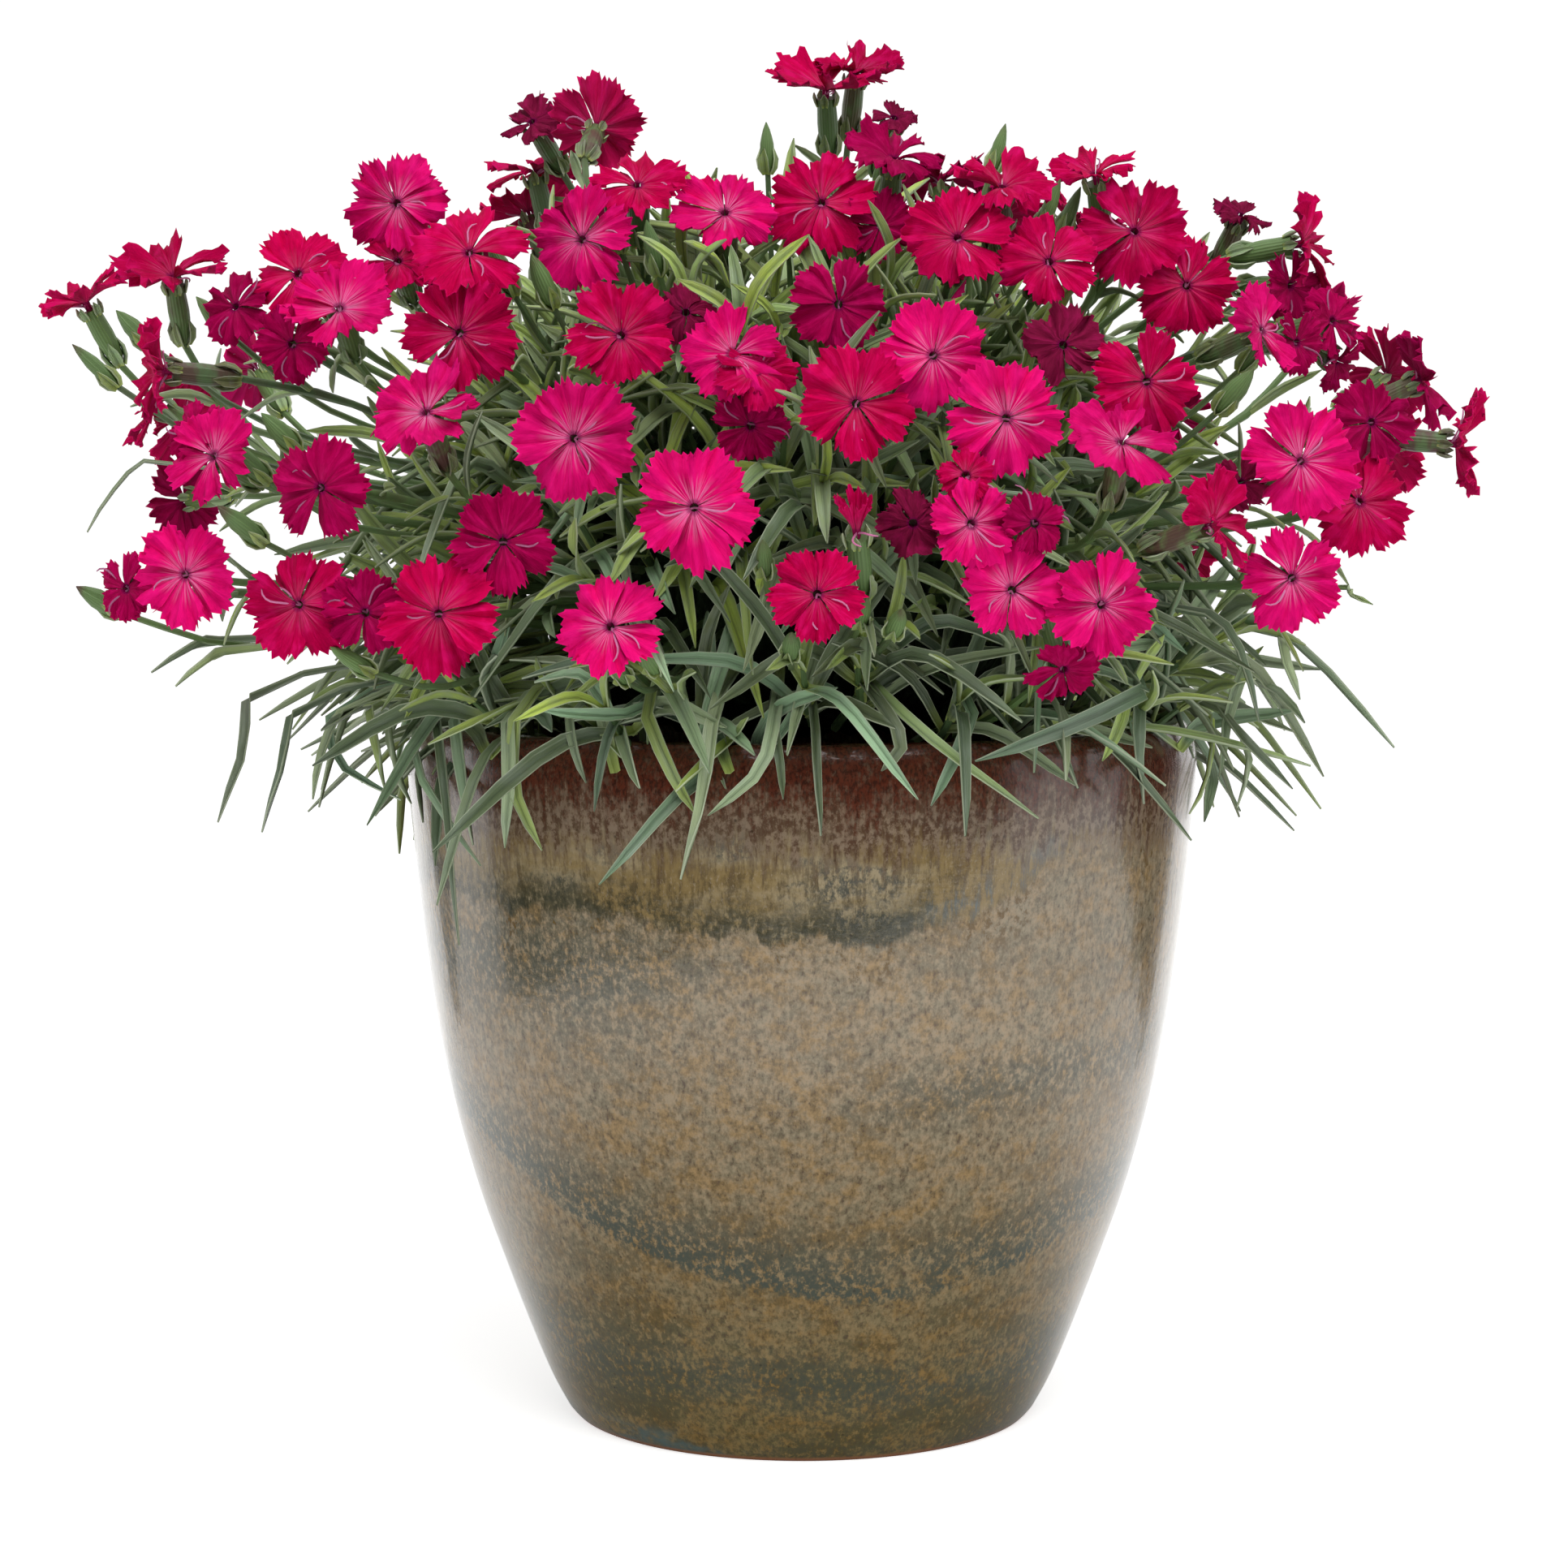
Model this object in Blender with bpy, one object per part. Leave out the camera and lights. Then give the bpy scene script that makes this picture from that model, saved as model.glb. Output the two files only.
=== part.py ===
"""A dianthus in full bloom in its glazed pot, modelled for one shared frame.

Lengths are millimetres here and are written out in metres. The origin is the middle of the
pot's foot, +Z is up and the photograph was taken from the -Y side.
"""

import math
import random

import bmesh
import bpy
from mathutils import Vector
from mathutils.bvhtree import BVHTree

MM = 0.001

# the camera that took the photograph: place in mm, pitch down in degrees, focal length in pixels
CAMERA = Vector((-4.5, -944.0, 244.0))
PITCH = math.radians(5.06)
FOCAL = 4569.0
MIDDLE = 966.0

# the pot: outer half profile as (height, radius), then the lip and the inside, both in mm
POT_OUTER = [
    (0.0, 59.4), (12.7, 65.9), (37.5, 75.5), (62.3, 84.1), (91.0, 91.2),
    (124.0, 96.2), (162.0, 100.0), (172.5, 99.6),
]
POT_LIP = [(177.2, 97.0), (178.0, 94.2), (172.0, 91.0)]
POT_INNER = [(130.0, 88.2), (80.0, 80.0), (30.0, 63.0), (10.0, 54.0)]
POT_SIDES = 32
DRAIN_RADIUS = 6.0
DRAIN_OFFSET = 34.0
DRAINS = 3

# the soil: a fill that stands this far off the pot, with a plain hole for the crown of the plant
GAP = 0.35
SOIL_TOP = 161.0
SOIL_CROWN = 164.0
SOIL_RING = 60.0
NECK_RADIUS = 13.0
NECK_BOTTOM = 149.0

# the dense middle of the bush, which every leaf and stem grows out of
CORE = Vector((-3.0, 0.0, 210.0))
CORE_ACROSS = 74.0
CORE_UP = 50.0
CORE_DOWN = 42.0
CORE_FULLNESS = 3.0
CORE_BUMPS = 3.0
ROOT_SHARE = 0.82

# the dome the blooms stand on
DOME = Vector((-5.0, 0.0, 225.0))
DOME_RADII = Vector((188.0, 130.0, 118.0))
# how far back the blooms of the crown stand beyond the near side of the dome
CROWN_PUSH = 95.0

# a bloom: petals on a claw that goes down into the calyx, cupped, spread and crumpled by its age
PETALS = 5
PETAL_THICK = 0.8
CLAW_RADIUS = 1.6
CLAW_DEPTH = 3.0
THROAT_SHARE = 0.3
CUP = {"half": 0.8, "faded": 0.05}
USUAL_CUP = 0.10
SPREAD = {"half": 0.62, "faded": 0.86}
CRUMPLE = {"faded": 2.4}
USUAL_CRUMPLE = 0.7
# blooms larger than this that are still fresh show the notch in the middle of each petal
TOOTHED_RADIUS = 13.6

CALYX_LENGTH = 15.0
CALYX_RADIUS = 2.5
CALYX_FOOT = 1.5
STEM_RADIUS = 0.9
STEM_SIDES = 4
SHORT_STEM = 60.0
BUD_BELOW = 6.0
BUD_ABOVE = 7.0
BLADE_THICK = 1.2
GOLDEN_TURN = 2.39996
# room kept between nodes, and how deep petals of one bunch run into one another
CLEAR = 0.5
OVERLAP = -0.2
SEED = 29

# blooms read from the photograph: bunch, throat u, throat v, radius in pixels,
# turn to the right and tilt upwards in degrees, push away from the camera in mm, kind
BLOOMS = [
    ("front_a", 540, 756, 79, -8, 4, 0, "red"),
    ("front_a", 620, 667, 67, 6, 8, 2, "wine"),
    ("front_b", 368, 745, 72, -14, 6, 0, "red"),
    ("front_b", 450, 755, 52, -10, 0, 12, "wine"),
    ("front_c", 752, 772, 69, -10, 20, 0, "pink"),
    ("front_d", 855, 625, 80, -4, 5, 0, "pink"),
    ("front_e", 1007, 732, 64, 2, 4, 0, "red"),
    ("front_f", 1357, 745, 69, 12, 6, 0, "pink"),
    ("front_f", 1247, 727, 64, 4, 8, 4, "pink"),
    ("front_g", 1197, 645, 60, 18, 6, 0, "pink"),
    ("front_g", 1275, 645, 42, 10, 10, 10, "wine"),
    ("front_g", 1190, 586, 36, 0, 20, 10, "red"),
    ("front_h", 1310, 825, 50, 10, -40, 4, "wine"),
    ("front_i", 1055, 650, 38, -10, 60, 6, "half"),
    ("front_j", 1125, 645, 52, 0, -10, 10, "faded"),
    ("mid_a", 707, 540, 80, -6, 5, 0, "pink"),
    ("mid_b", 525, 508, 70, -15, 45, 0, "pink"),
    ("mid_c", 395, 601, 66, -14, 2, 0, "wine"),
    ("mid_d", 1055, 497, 76, 2, 5, 0, "red"),
    ("mid_e", 1240, 515, 77, 6, 8, 0, "pink"),
    ("mid_f", 1382, 545, 70, 8, 52, 0, "pink"),
    ("mid_g", 1413, 470, 68, 12, 5, 0, "red"),
    ("mid_h", 1310, 425, 58, 4, 20, 4, "faded"),
    ("mid_i", 1150, 438, 69, 4, 15, 0, "pink"),
    ("mid_j", 903, 436, 65, -4, 20, 0, "pink"),
    ("mid_j", 950, 470, 55, 4, 36, 8, "red"),
    ("mid_j", 925, 525, 48, 0, -20, 12, "wine"),
    ("mid_k", 765, 413, 70, 5, 20, 0, "red"),
    ("mid_l", 845, 385, 46, 0, 30, 8, "faded"),
    ("mid_m", 566, 410, 74, -6, 5, 0, "red"),
    ("mid_m", 578, 311, 72, -6, 35, 4, "red"),
    ("mid_n", 1033, 375, 62, 0, 2, 4, "wine"),
    ("top_a", 489, 250, 66, -5, 10, 0, "pink"),
    ("top_a", 490, 322, 50, -8, 30, 10, "red"),
    ("top_b", 717, 295, 68, -15, 15, 0, "pink"),
    ("top_b", 785, 228, 62, 0, 45, 6, "red"),
    ("top_c", 735, 158, 62, 172, 30, 10, "red"),
    ("top_d", 655, 150, 46, -30, 40, 24, "faded"),
    ("top_d", 628, 222, 50, -10, 20, 20, "faded"),
    ("top_e", 893, 262, 68, -2, 38, 0, "pink"),
    ("top_f", 1012, 250, 70, -5, 20, 0, "red"),
    ("top_f", 1085, 278, 46, 10, 10, 10, "wine"),
    ("top_f", 1110, 190, 62, 10, 60, 8, "wine"),
    ("top_g", 1055, 88, 55, 20, 72, 16, "red"),
    ("top_g", 985, 128, 68, -10, 70, 8, "red"),
    ("top_h", 1102, 145, 32, 20, 50, 30, "faded"),
    ("top_i", 1180, 293, 72, 4, 30, 0, "red"),
    ("top_i", 1235, 230, 66, 8, 62, 6, "red"),
    ("top_i", 1303, 325, 66, 8, 25, 4, "red"),
    ("top_j", 1398, 285, 72, 10, 25, 0, "red"),
    ("top_j", 1343, 206, 56, -20, 60, 8, "red"),
    ("top_j", 1462, 352, 66, 8, 12, 4, "red"),
    ("right_a", 1555, 407, 60, 50, 20, 0, "pink"),
    ("right_a", 1598, 422, 40, 40, 0, 10, "wine"),
    ("right_b", 1605, 300, 64, 75, 10, 0, "red"),
    ("right_b", 1590, 352, 46, 40, 0, 8, "wine"),
    ("right_c", 1642, 395, 44, 40, 10, 10, "wine"),
    ("right_c", 1648, 446, 40, 60, -30, 10, "wine"),
    ("right_d", 1530, 265, 42, 30, 50, 16, "faded"),
    ("right_e", 1603, 568, 80, 18, 20, 0, "pink"),
    ("right_f", 1690, 520, 58, 24, 10, 10, "wine"),
    ("right_f", 1675, 618, 68, 18, 8, 8, "red"),
    ("right_g", 1795, 547, 66, 78, -5, 10, "red"),
    ("right_h", 1592, 712, 67, 8, 5, -4, "pink"),
    ("right_i", 1495, 645, 68, 60, 20, -2, "red"),
    ("right_j", 1530, 595, 44, 30, 10, 14, "faded"),
    ("left_a", 105, 372, 60, -60, 60, 6, "red"),
    ("left_g", 200, 457, 65, -75, 5, 0, "red"),
    ("left_b", 213, 340, 72, -10, 65, 6, "red"),
    ("left_c", 367, 337, 65, -10, 25, 0, "red"),
    ("left_c", 290, 378, 50, -30, 20, 10, "wine"),
    ("left_d", 418, 380, 72, -8, 38, 0, "pink"),
    ("left_d", 360, 424, 47, -10, 0, 10, "wine"),
    ("left_e", 263, 562, 64, -30, 20, 0, "pink"),
    ("left_e", 240, 532, 42, -30, 20, 10, "wine"),
    ("left_f", 228, 708, 70, -16, 6, 0, "pink"),
    ("left_f", 155, 725, 45, -30, 4, 10, "wine"),
]

# unseen side: bunches of blooms behind as azimuth and height in degrees over the dome's middle
BACK_BUNCHES = [(24, 20), (56, 6), (62, 46), (104, 14), (122, 46), (152, 14)]
BACK_COUNT = 4
BACK_RADIUS = 14.0
BACK_SPREAD = 25.0

# buds read from the photograph: u, v
BUDS = [
    (268, 395), (122, 455), (165, 405), (670, 350), (757, 280), (805, 308), (945, 182), (1230, 184),
    (1292, 258), (1318, 262), (905, 492), (1022, 520), (308, 572), (302, 650), (345, 532), (124, 740),
    (436, 815), (762, 827), (800, 812), (1063, 756), (975, 795), (942, 690), (1105, 768), (1548, 432),
    (1520, 484), (620, 335),
]

# leaves read from the photograph: width in mm, then points as (u, v, distance from the pot's axis in mm)
LEAVES = [
    (4.2, (885, 868, 99), (868, 985, 111), (838, 1083, 104)),
    (3.4, (955, 880, 100), (935, 950, 112), (872, 1005, 110)),
    (3.6, (800, 862, 99), (826, 945, 110), (857, 1003, 107)),
    (2.6, (768, 880, 99), (745, 925, 108), (732, 1000, 105)),
    (2.4, (712, 872, 98), (708, 920, 108), (722, 965, 105)),
    (3.6, (640, 868, 100), (628, 965, 112), (622, 1045, 106)),
    (3.6, (650, 862, 100), (634, 970, 110), (668, 1048, 106)),
    (4.4, (577, 862, 100), (574, 960, 112), (582, 1041, 107)),
    (3.6, (540, 862, 102), (518, 945, 112), (592, 1067, 107)),
    (3.0, (552, 850, 101), (552, 980, 113), (565, 1165, 106)),
    (3.6, (640, 868, 100), (590, 890, 114), (527, 917, 122)),
    (3.4, (790, 876, 99), (730, 880, 114), (662, 874, 124)),
    (4.6, (1405, 838, 108), (1320, 892, 119), (1202, 938, 122)),
    (4.0, (1078, 862, 100), (1108, 915, 113), (1086, 950, 108)),
    (3.2, (1092, 862, 100), (1172, 932, 112), (1280, 1008, 106)),
    (3.4, (1192, 862, 99), (1178, 930, 110), (1147, 993, 106)),
    (2.4, (952, 880, 98), (960, 935, 107), (965, 985, 105)),
    (2.4, (1002, 880, 98), (1006, 960, 107), (1012, 1030, 104)),
    (3.4, (1372, 850, 101), (1375, 900, 110), (1358, 938, 108)),
    (4.4, (1384, 855, 101), (1398, 925, 112), (1410, 990, 107)),
    (3.4, (1475, 862, 106), (1525, 905, 124), (1593, 972, 134)),
    (3.4, (1475, 862, 106), (1535, 925, 124), (1525, 995, 122)),
    (2.6, (1470, 862, 105), (1488, 945, 113), (1466, 1003, 108)),
    (3.4, (1514, 800, 112), (1510, 880, 116), (1503, 957, 114)),
    (4.2, (1456, 752, 110), (1518, 790, 122), (1552, 890, 126)),
    (3.4, (1548, 775, 118), (1580, 812, 128), (1602, 862, 132)),
    (2.0, (1630, 724, 132), (1660, 732, 140), (1692, 745, 146)),
    (4.2, (340, 842, 134), (305, 925, 146), (268, 1013, 150)),
    (4.0, (392, 862, 126), (352, 940, 138), (322, 1025, 140)),
    (4.0, (312, 790, 140), (245, 796, 154), (186, 828, 166)),
    (3.6, (318, 800, 140), (262, 812, 152), (216, 845, 160)),
    (1.8, (232, 572, 156), (150, 596, 172), (107, 655, 182)),
    (3.2, (452, 862, 118), (402, 920, 130), (385, 985, 132)),
    (2.4, (432, 862, 120), (420, 940, 126), (494, 985, 118)),
    (3.6, (478, 858, 112), (468, 920, 120), (474, 975, 118)),
    (3.8, (502, 862, 108), (486, 925, 118), (506, 990, 112)),
]
HAND_RINGS = 4

# leaves of the dome by rule
DOME_LEAVES = 120
LEAF_RINGS = 2
# leaves that hang over the rim on the unseen side, by rule
SKIRT_LEAVES = 26
SKIRT_RINGS = 3

GREEN = (0.085, 0.17, 0.06)
EARTH = (0.035, 0.024, 0.017)
GLAZE = (0.17, 0.125, 0.07)
TINTS = {
    "red": (0.55, 0.012, 0.085),
    "pink": (0.68, 0.03, 0.2),
    "wine": (0.3, 0.006, 0.055),
    "half": (0.6, 0.02, 0.12),
    "faded": (0.14, 0.02, 0.05),
}


def clear_scene():
    for item in list(bpy.data.objects):
        bpy.data.objects.remove(item, do_unlink=True)


def make_material(name, colour, roughness, coat=0.0):
    material = bpy.data.materials.new(name)
    material.use_nodes = True
    shader = material.node_tree.nodes["Principled BSDF"]
    shader.inputs["Base Color"].default_value = (*colour, 1.0)
    shader.inputs["Roughness"].default_value = roughness
    shader.inputs["Coat Weight"].default_value = coat
    material.diffuse_color = (*colour, 1.0)
    return material


def solid(name, verts, faces, smooth=False):
    """A closed mesh object from points in mm, with its faces turned outwards."""
    mesh = bpy.data.meshes.new(name)
    mesh.from_pydata([tuple(point * MM) for point in verts], [], faces)
    work = bmesh.new()
    work.from_mesh(mesh)
    bmesh.ops.triangulate(work, faces=work.faces[:])
    bmesh.ops.recalc_face_normals(work, faces=work.faces[:])
    work.to_mesh(mesh)
    work.free()
    if smooth:
        mesh.shade_smooth()
    item = bpy.data.objects.new(name, mesh)
    bpy.context.scene.collection.objects.link(item)
    return item


def apply_modifiers(item):
    bpy.context.view_layer.objects.active = item
    for modifier in list(item.modifiers):
        bpy.ops.object.modifier_apply(modifier=modifier.name)


def fuse(base, parts, solver="MANIFOLD"):
    """One Boolean union of the base with every part, which are then removed."""
    group = bpy.data.collections.new(base.name + "_parts")
    bpy.context.scene.collection.children.link(group)
    for part in parts:
        bpy.context.scene.collection.objects.unlink(part)
        group.objects.link(part)
    union = base.modifiers.new("fuse", "BOOLEAN")
    union.operation = "UNION"
    union.operand_type = "COLLECTION"
    union.collection = group
    union.solver = solver
    apply_modifiers(base)
    for part in parts:
        bpy.data.objects.remove(part, do_unlink=True)
    bpy.data.collections.remove(group)
    return base


def drop_scraps(item):
    """Keep the largest island of a fused mesh: sealed hollows are filled and loose scraps go."""
    work = bmesh.new()
    work.from_mesh(item.data)
    left = set(work.verts)
    islands = []
    while left:
        island, edge = [], [left.pop()]
        while edge:
            vert = edge.pop()
            island.append(vert)
            for link in vert.link_edges:
                other = link.other_vert(vert)
                if other in left:
                    left.remove(other)
                    edge.append(other)
        islands.append(island)
    islands.sort(key=len)
    for island in islands[:-1]:
        bmesh.ops.delete(work, geom=island, context="VERTS")
    work.to_mesh(item.data)
    work.free()


def subtract(base, cutter):
    cut = base.modifiers.new("cut", "BOOLEAN")
    cut.operation = "DIFFERENCE"
    cut.object = cutter
    cut.solver = "EXACT"
    apply_modifiers(base)
    bpy.data.objects.remove(cutter, do_unlink=True)


def loft(rings, start=None, end=None):
    """Points and faces of a closed skin over rings of equal count, with flat or pointed ends."""
    count = len(rings[0])
    verts = [point for ring in rings for point in ring]
    faces = []
    for row in range(len(rings) - 1):
        for col in range(count):
            low = row * count + col
            low_next = row * count + (col + 1) % count
            faces.append((low, low_next, low_next + count, low + count))
    last = (len(rings) - 1) * count
    if start is None:
        faces.append(tuple(reversed(range(count))))
    else:
        verts.append(start)
        faces += [((col + 1) % count, col, len(verts) - 1) for col in range(count)]
    if end is None:
        faces.append(tuple(range(last, last + count)))
    else:
        verts.append(end)
        faces += [(last + col, last + (col + 1) % count, len(verts) - 1) for col in range(count)]
    return verts, faces


def circle(centre, radius, sides, side, up):
    points = []
    for step in range(sides):
        angle = math.tau * step / sides
        points.append(centre + side * (radius * math.cos(angle)) + up * (radius * math.sin(angle)))
    return points


def across(direction):
    """Two unit vectors square to a direction and to one another."""
    helper = Vector((0, 0, 1)) if abs(direction.z) < 0.9 else Vector((0, 1, 0))
    side = direction.cross(helper).normalized()
    return side, side.cross(direction).normalized()


def tree_of(verts, faces):
    return BVHTree.FromPolygons(verts, faces)


def turned(name, profile, sides):
    """A turned solid from (height, radius) pairs, closed on the axis at both ends."""
    up, side = Vector((0, 1, 0)), Vector((1, 0, 0))
    rings = [circle(Vector((0, 0, z)), r, sides, side, up) for z, r in profile]
    verts, faces = loft(rings)
    return solid(name, verts, faces, smooth=True)


def make_pot():
    """The pot as one turned wall with a closed floor and round drain holes."""
    pot = turned("pot", POT_OUTER + POT_LIP + POT_INNER, POT_SIDES)
    for step in range(DRAINS):
        angle = math.radians(90) + math.tau * step / DRAINS
        middle = Vector((DRAIN_OFFSET * math.cos(angle), DRAIN_OFFSET * math.sin(angle), 0.0))
        rings = []
        for height in (-5.0, 15.0):
            centre = middle + Vector((0, 0, height))
            rings.append(circle(centre, DRAIN_RADIUS, 12, Vector((1, 0, 0)), Vector((0, 1, 0))))
        subtract(pot, solid("drain", *loft(rings)))
    pot.data.materials.append(make_material("pot", GLAZE, 0.12, 1.0))
    return pot


def make_soil():
    """The soil fill, a little domed, with the plain hole the crown stands in."""
    floor = POT_INNER[-1]
    profile = [(floor[0] + GAP, floor[1] - 4.0)]
    for height, radius in reversed(POT_INNER[:-1]):
        profile.append((height, radius - GAP - 0.4))
    low, high = POT_INNER[0], POT_LIP[-1]
    wall = low[1] + (high[1] - low[1]) * (SOIL_TOP - low[0]) / (high[0] - low[0])
    profile.append((SOIL_TOP, wall - GAP - 0.4))
    profile.append((SOIL_CROWN, SOIL_RING))
    hole = NECK_RADIUS + GAP
    profile.append((SOIL_CROWN, hole))
    profile.append((NECK_BOTTOM - GAP, hole))
    soil = turned("soil", profile, POT_SIDES)
    soil.data.materials.append(make_material("soil", EARTH, 0.95))
    return soil


def ray(u, v):
    """The direction through a photo pixel, scaled to one unit of depth."""
    forward = Vector((0, math.cos(PITCH), -math.sin(PITCH)))
    upward = Vector((0, math.sin(PITCH), math.cos(PITCH)))
    return forward + Vector((1, 0, 0)) * ((u - MIDDLE) / FOCAL) + upward * ((MIDDLE - v) / FOCAL)


def on_dome(u, v, push):
    """The point of the flower dome seen at a pixel, pushed away from the camera, and its depth."""
    line = ray(u, v)
    start = Vector([(CAMERA[k] - DOME[k]) / DOME_RADII[k] for k in range(3)])
    run = Vector([line[k] / DOME_RADII[k] for k in range(3)])
    a, b, c = run.dot(run), start.dot(run), start.dot(start) - 1.0
    depth = (-b - math.sqrt(max(b * b - a * c, 0.0))) / a
    height = (CAMERA.z + line.z * depth - DOME.z) / DOME_RADII.z
    depth += push + CROWN_PUSH * max(height, 0.0) ** 1.5
    return CAMERA + line * depth, depth


def on_cylinder(u, v, radius):
    """The near point of an upright cylinder about the pot's axis seen at a pixel."""
    line = ray(u, v)
    a = line.x**2 + line.y**2
    b = CAMERA.x * line.x + CAMERA.y * line.y
    c = CAMERA.x**2 + CAMERA.y**2 - radius**2
    depth = (-b - math.sqrt(max(b * b - a * c, 0.0))) / a
    return CAMERA + line * depth


def facing(turn, tilt):
    turn, tilt = math.radians(turn), math.radians(tilt)
    return Vector((math.sin(turn) * math.cos(tilt), -math.cos(turn) * math.cos(tilt), math.sin(tilt)))


def core_point(direction, share):
    """A point under the core's skin in a direction from its middle."""
    way = direction.normalized()
    depth, power = (CORE_UP, 2.0) if way.z > 0 else (CORE_DOWN, CORE_FULLNESS)
    flat, rise = math.hypot(way.x, way.y) / CORE_ACROSS, abs(way.z) / depth
    return CORE + way * (share / (flat**power + rise**power) ** (1.0 / power))


class Bloom:
    """One bloom: where its throat is, how it faces, how big it is and how its petals lie."""

    def __init__(self, bunch, centre, face, radius, kind, seed):
        self.bunch = bunch
        self.centre = centre
        self.face = face.normalized()
        self.radius = radius
        self.kind = kind
        fresh = kind in ("red", "pink") and not bunch.startswith("back")
        self.toothed = fresh and radius > TOOTHED_RADIUS
        self.draw = random.Random(seed)
        self.spin = self.draw.uniform(0, math.tau)
        self.jitter = [self.draw.uniform(-1, 1) for _ in range(64)]

    def outer_points(self):
        """The rim of the corolla as (angle, share of the radius, height)."""
        step = math.tau / PETALS
        points = []
        for petal in range(PETALS):
            base = self.spin + petal * step
            noise = self.jitter[petal * 4 : petal * 4 + 4]
            points.append((base - 0.5 * step, 0.80, -0.2 + 0.4 * noise[0]))
            points.append((base - 0.28 * step, 0.99 + 0.02 * noise[1], 0.9))
            if self.toothed:
                points.append((base, 0.91, 0.0))
            points.append((base + 0.24 * step, 1.0 + 0.02 * noise[3], -0.8))
        return points

    def shape(self, grow=0.0):
        """Points and faces of the corolla, thickened by grow for the tests of clearance."""
        side, up = across(self.face)
        cup, spread = CUP.get(self.kind, USUAL_CUP), SPREAD.get(self.kind, 1.0)
        crumple = CRUMPLE.get(self.kind, USUAL_CRUMPLE)
        thick = PETAL_THICK + 2 * grow

        def at(angle, rho, height):
            flat = side * math.cos(angle) + up * math.sin(angle)
            return self.centre + flat * rho + self.face * height

        outer = []
        for index, (angle, share, lift) in enumerate(self.outer_points()):
            rho = self.radius * share * spread + grow
            lift = lift + crumple * self.jitter[24 + index]
            outer.append((angle, rho, cup * self.radius + lift + grow))
        step = math.tau / PETALS
        throat = THROAT_SHARE * self.radius
        inner = [(self.spin + k * step, throat, 0.6 + grow) for k in range(PETALS)]
        verts = [at(*point) for point in outer]
        count = len(outer)
        verts += [at(angle, rho, height - thick) for angle, rho, height in outer]
        verts += [at(*point) for point in inner]
        verts += [at(angle, rho, height - thick) for angle, rho, height in inner]
        verts += [at(angle, CLAW_RADIUS + grow, -CLAW_DEPTH - grow) for angle, _, _ in inner]
        verts.append(at(0.0, 0.0, -0.9))
        top, under, claw = 2 * count, 2 * count + PETALS, 2 * count + 2 * PETALS
        middle = len(verts) - 1
        each = count // PETALS
        faces = []
        for k in range(count):
            nxt = (k + 1) % count
            faces.append((k, count + k, count + nxt, nxt))
        for petal in range(PETALS):
            follow = (petal + 1) % PETALS
            for k in range(each):
                low = petal * each + k
                high = (low + 1) % count
                faces.append((top + petal, low, high))
                faces.append((under + petal, count + high, count + low))
            seam = (follow * each) % count
            faces.append((top + petal, seam, top + follow))
            faces.append((under + petal, under + follow, count + seam))
            faces.append((middle, top + petal, top + follow))
            faces.append((under + petal, claw + petal, claw + follow, under + follow))
        faces.append(tuple(claw + petal for petal in range(PETALS)))
        return verts, faces

    def calyx_ends(self):
        top = self.centre - self.face * (CLAW_DEPTH + GAP)
        return top, top - self.face * CALYX_LENGTH

    def calyx_shape(self, grow=0.0):
        top, foot = self.calyx_ends()
        side, up = across(self.face)
        low = circle(foot, CALYX_FOOT + grow, STEM_SIDES, side, up)
        return loft([low, circle(top, CALYX_RADIUS + grow, STEM_SIDES, side, up)])


def far_apart(one, other):
    return (one.centre - other.centre).length > one.radius + other.radius + CALYX_LENGTH + 6.0


def is_free(bloom, placed):
    """No petals or calyx of a bloom near those of other bunches."""
    petals = tree_of(*bloom.shape(CLEAR))
    calyx = tree_of(*bloom.calyx_shape(CLEAR))
    for other in placed:
        if far_apart(bloom, other):
            continue
        if other.calyx_tree.overlap(petals) or other.petal_tree.overlap(calyx):
            return False
        if other.bunch != bloom.bunch and other.petal_tree.overlap(petals):
            return False
    return True


def is_joined(bloom, placed):
    """Petals that really run into those of the bunch, or the first bloom of a bunch."""
    mates = [other for other in placed if other.bunch == bloom.bunch]
    if not mates:
        return True
    petals = tree_of(*bloom.shape(OVERLAP))
    return any(len(mate.thin_tree.overlap(petals)) > 2 for mate in mates)


def settle(bloom, placed, line):
    """Move a bloom along its line of sight, and towards its bunch, until it stands well."""
    home = bloom.centre.copy()
    mates = [other for other in placed if other.bunch == bloom.bunch]
    aim = (mates[0].centre - home) if mates else Vector((0, 0, 0))
    aim -= line * aim.dot(line)
    steps = [0.0, 2.0, 4.0, 6.0, 8.0, 10.0] if mates else [0.0]
    for near in steps:
        for depth in (0, 1.5, -1.5, 3, -3, 5, -5, 7, -7, 9, -9, 12, -12, 15, -15, 18, 22, 26, 30):
            slide = aim.normalized() * near if mates else Vector((0, 0, 0))
            bloom.centre = home + slide + line * depth
            if is_joined(bloom, placed) and is_free(bloom, placed):
                return True
    bloom.centre = home
    return False


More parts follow.
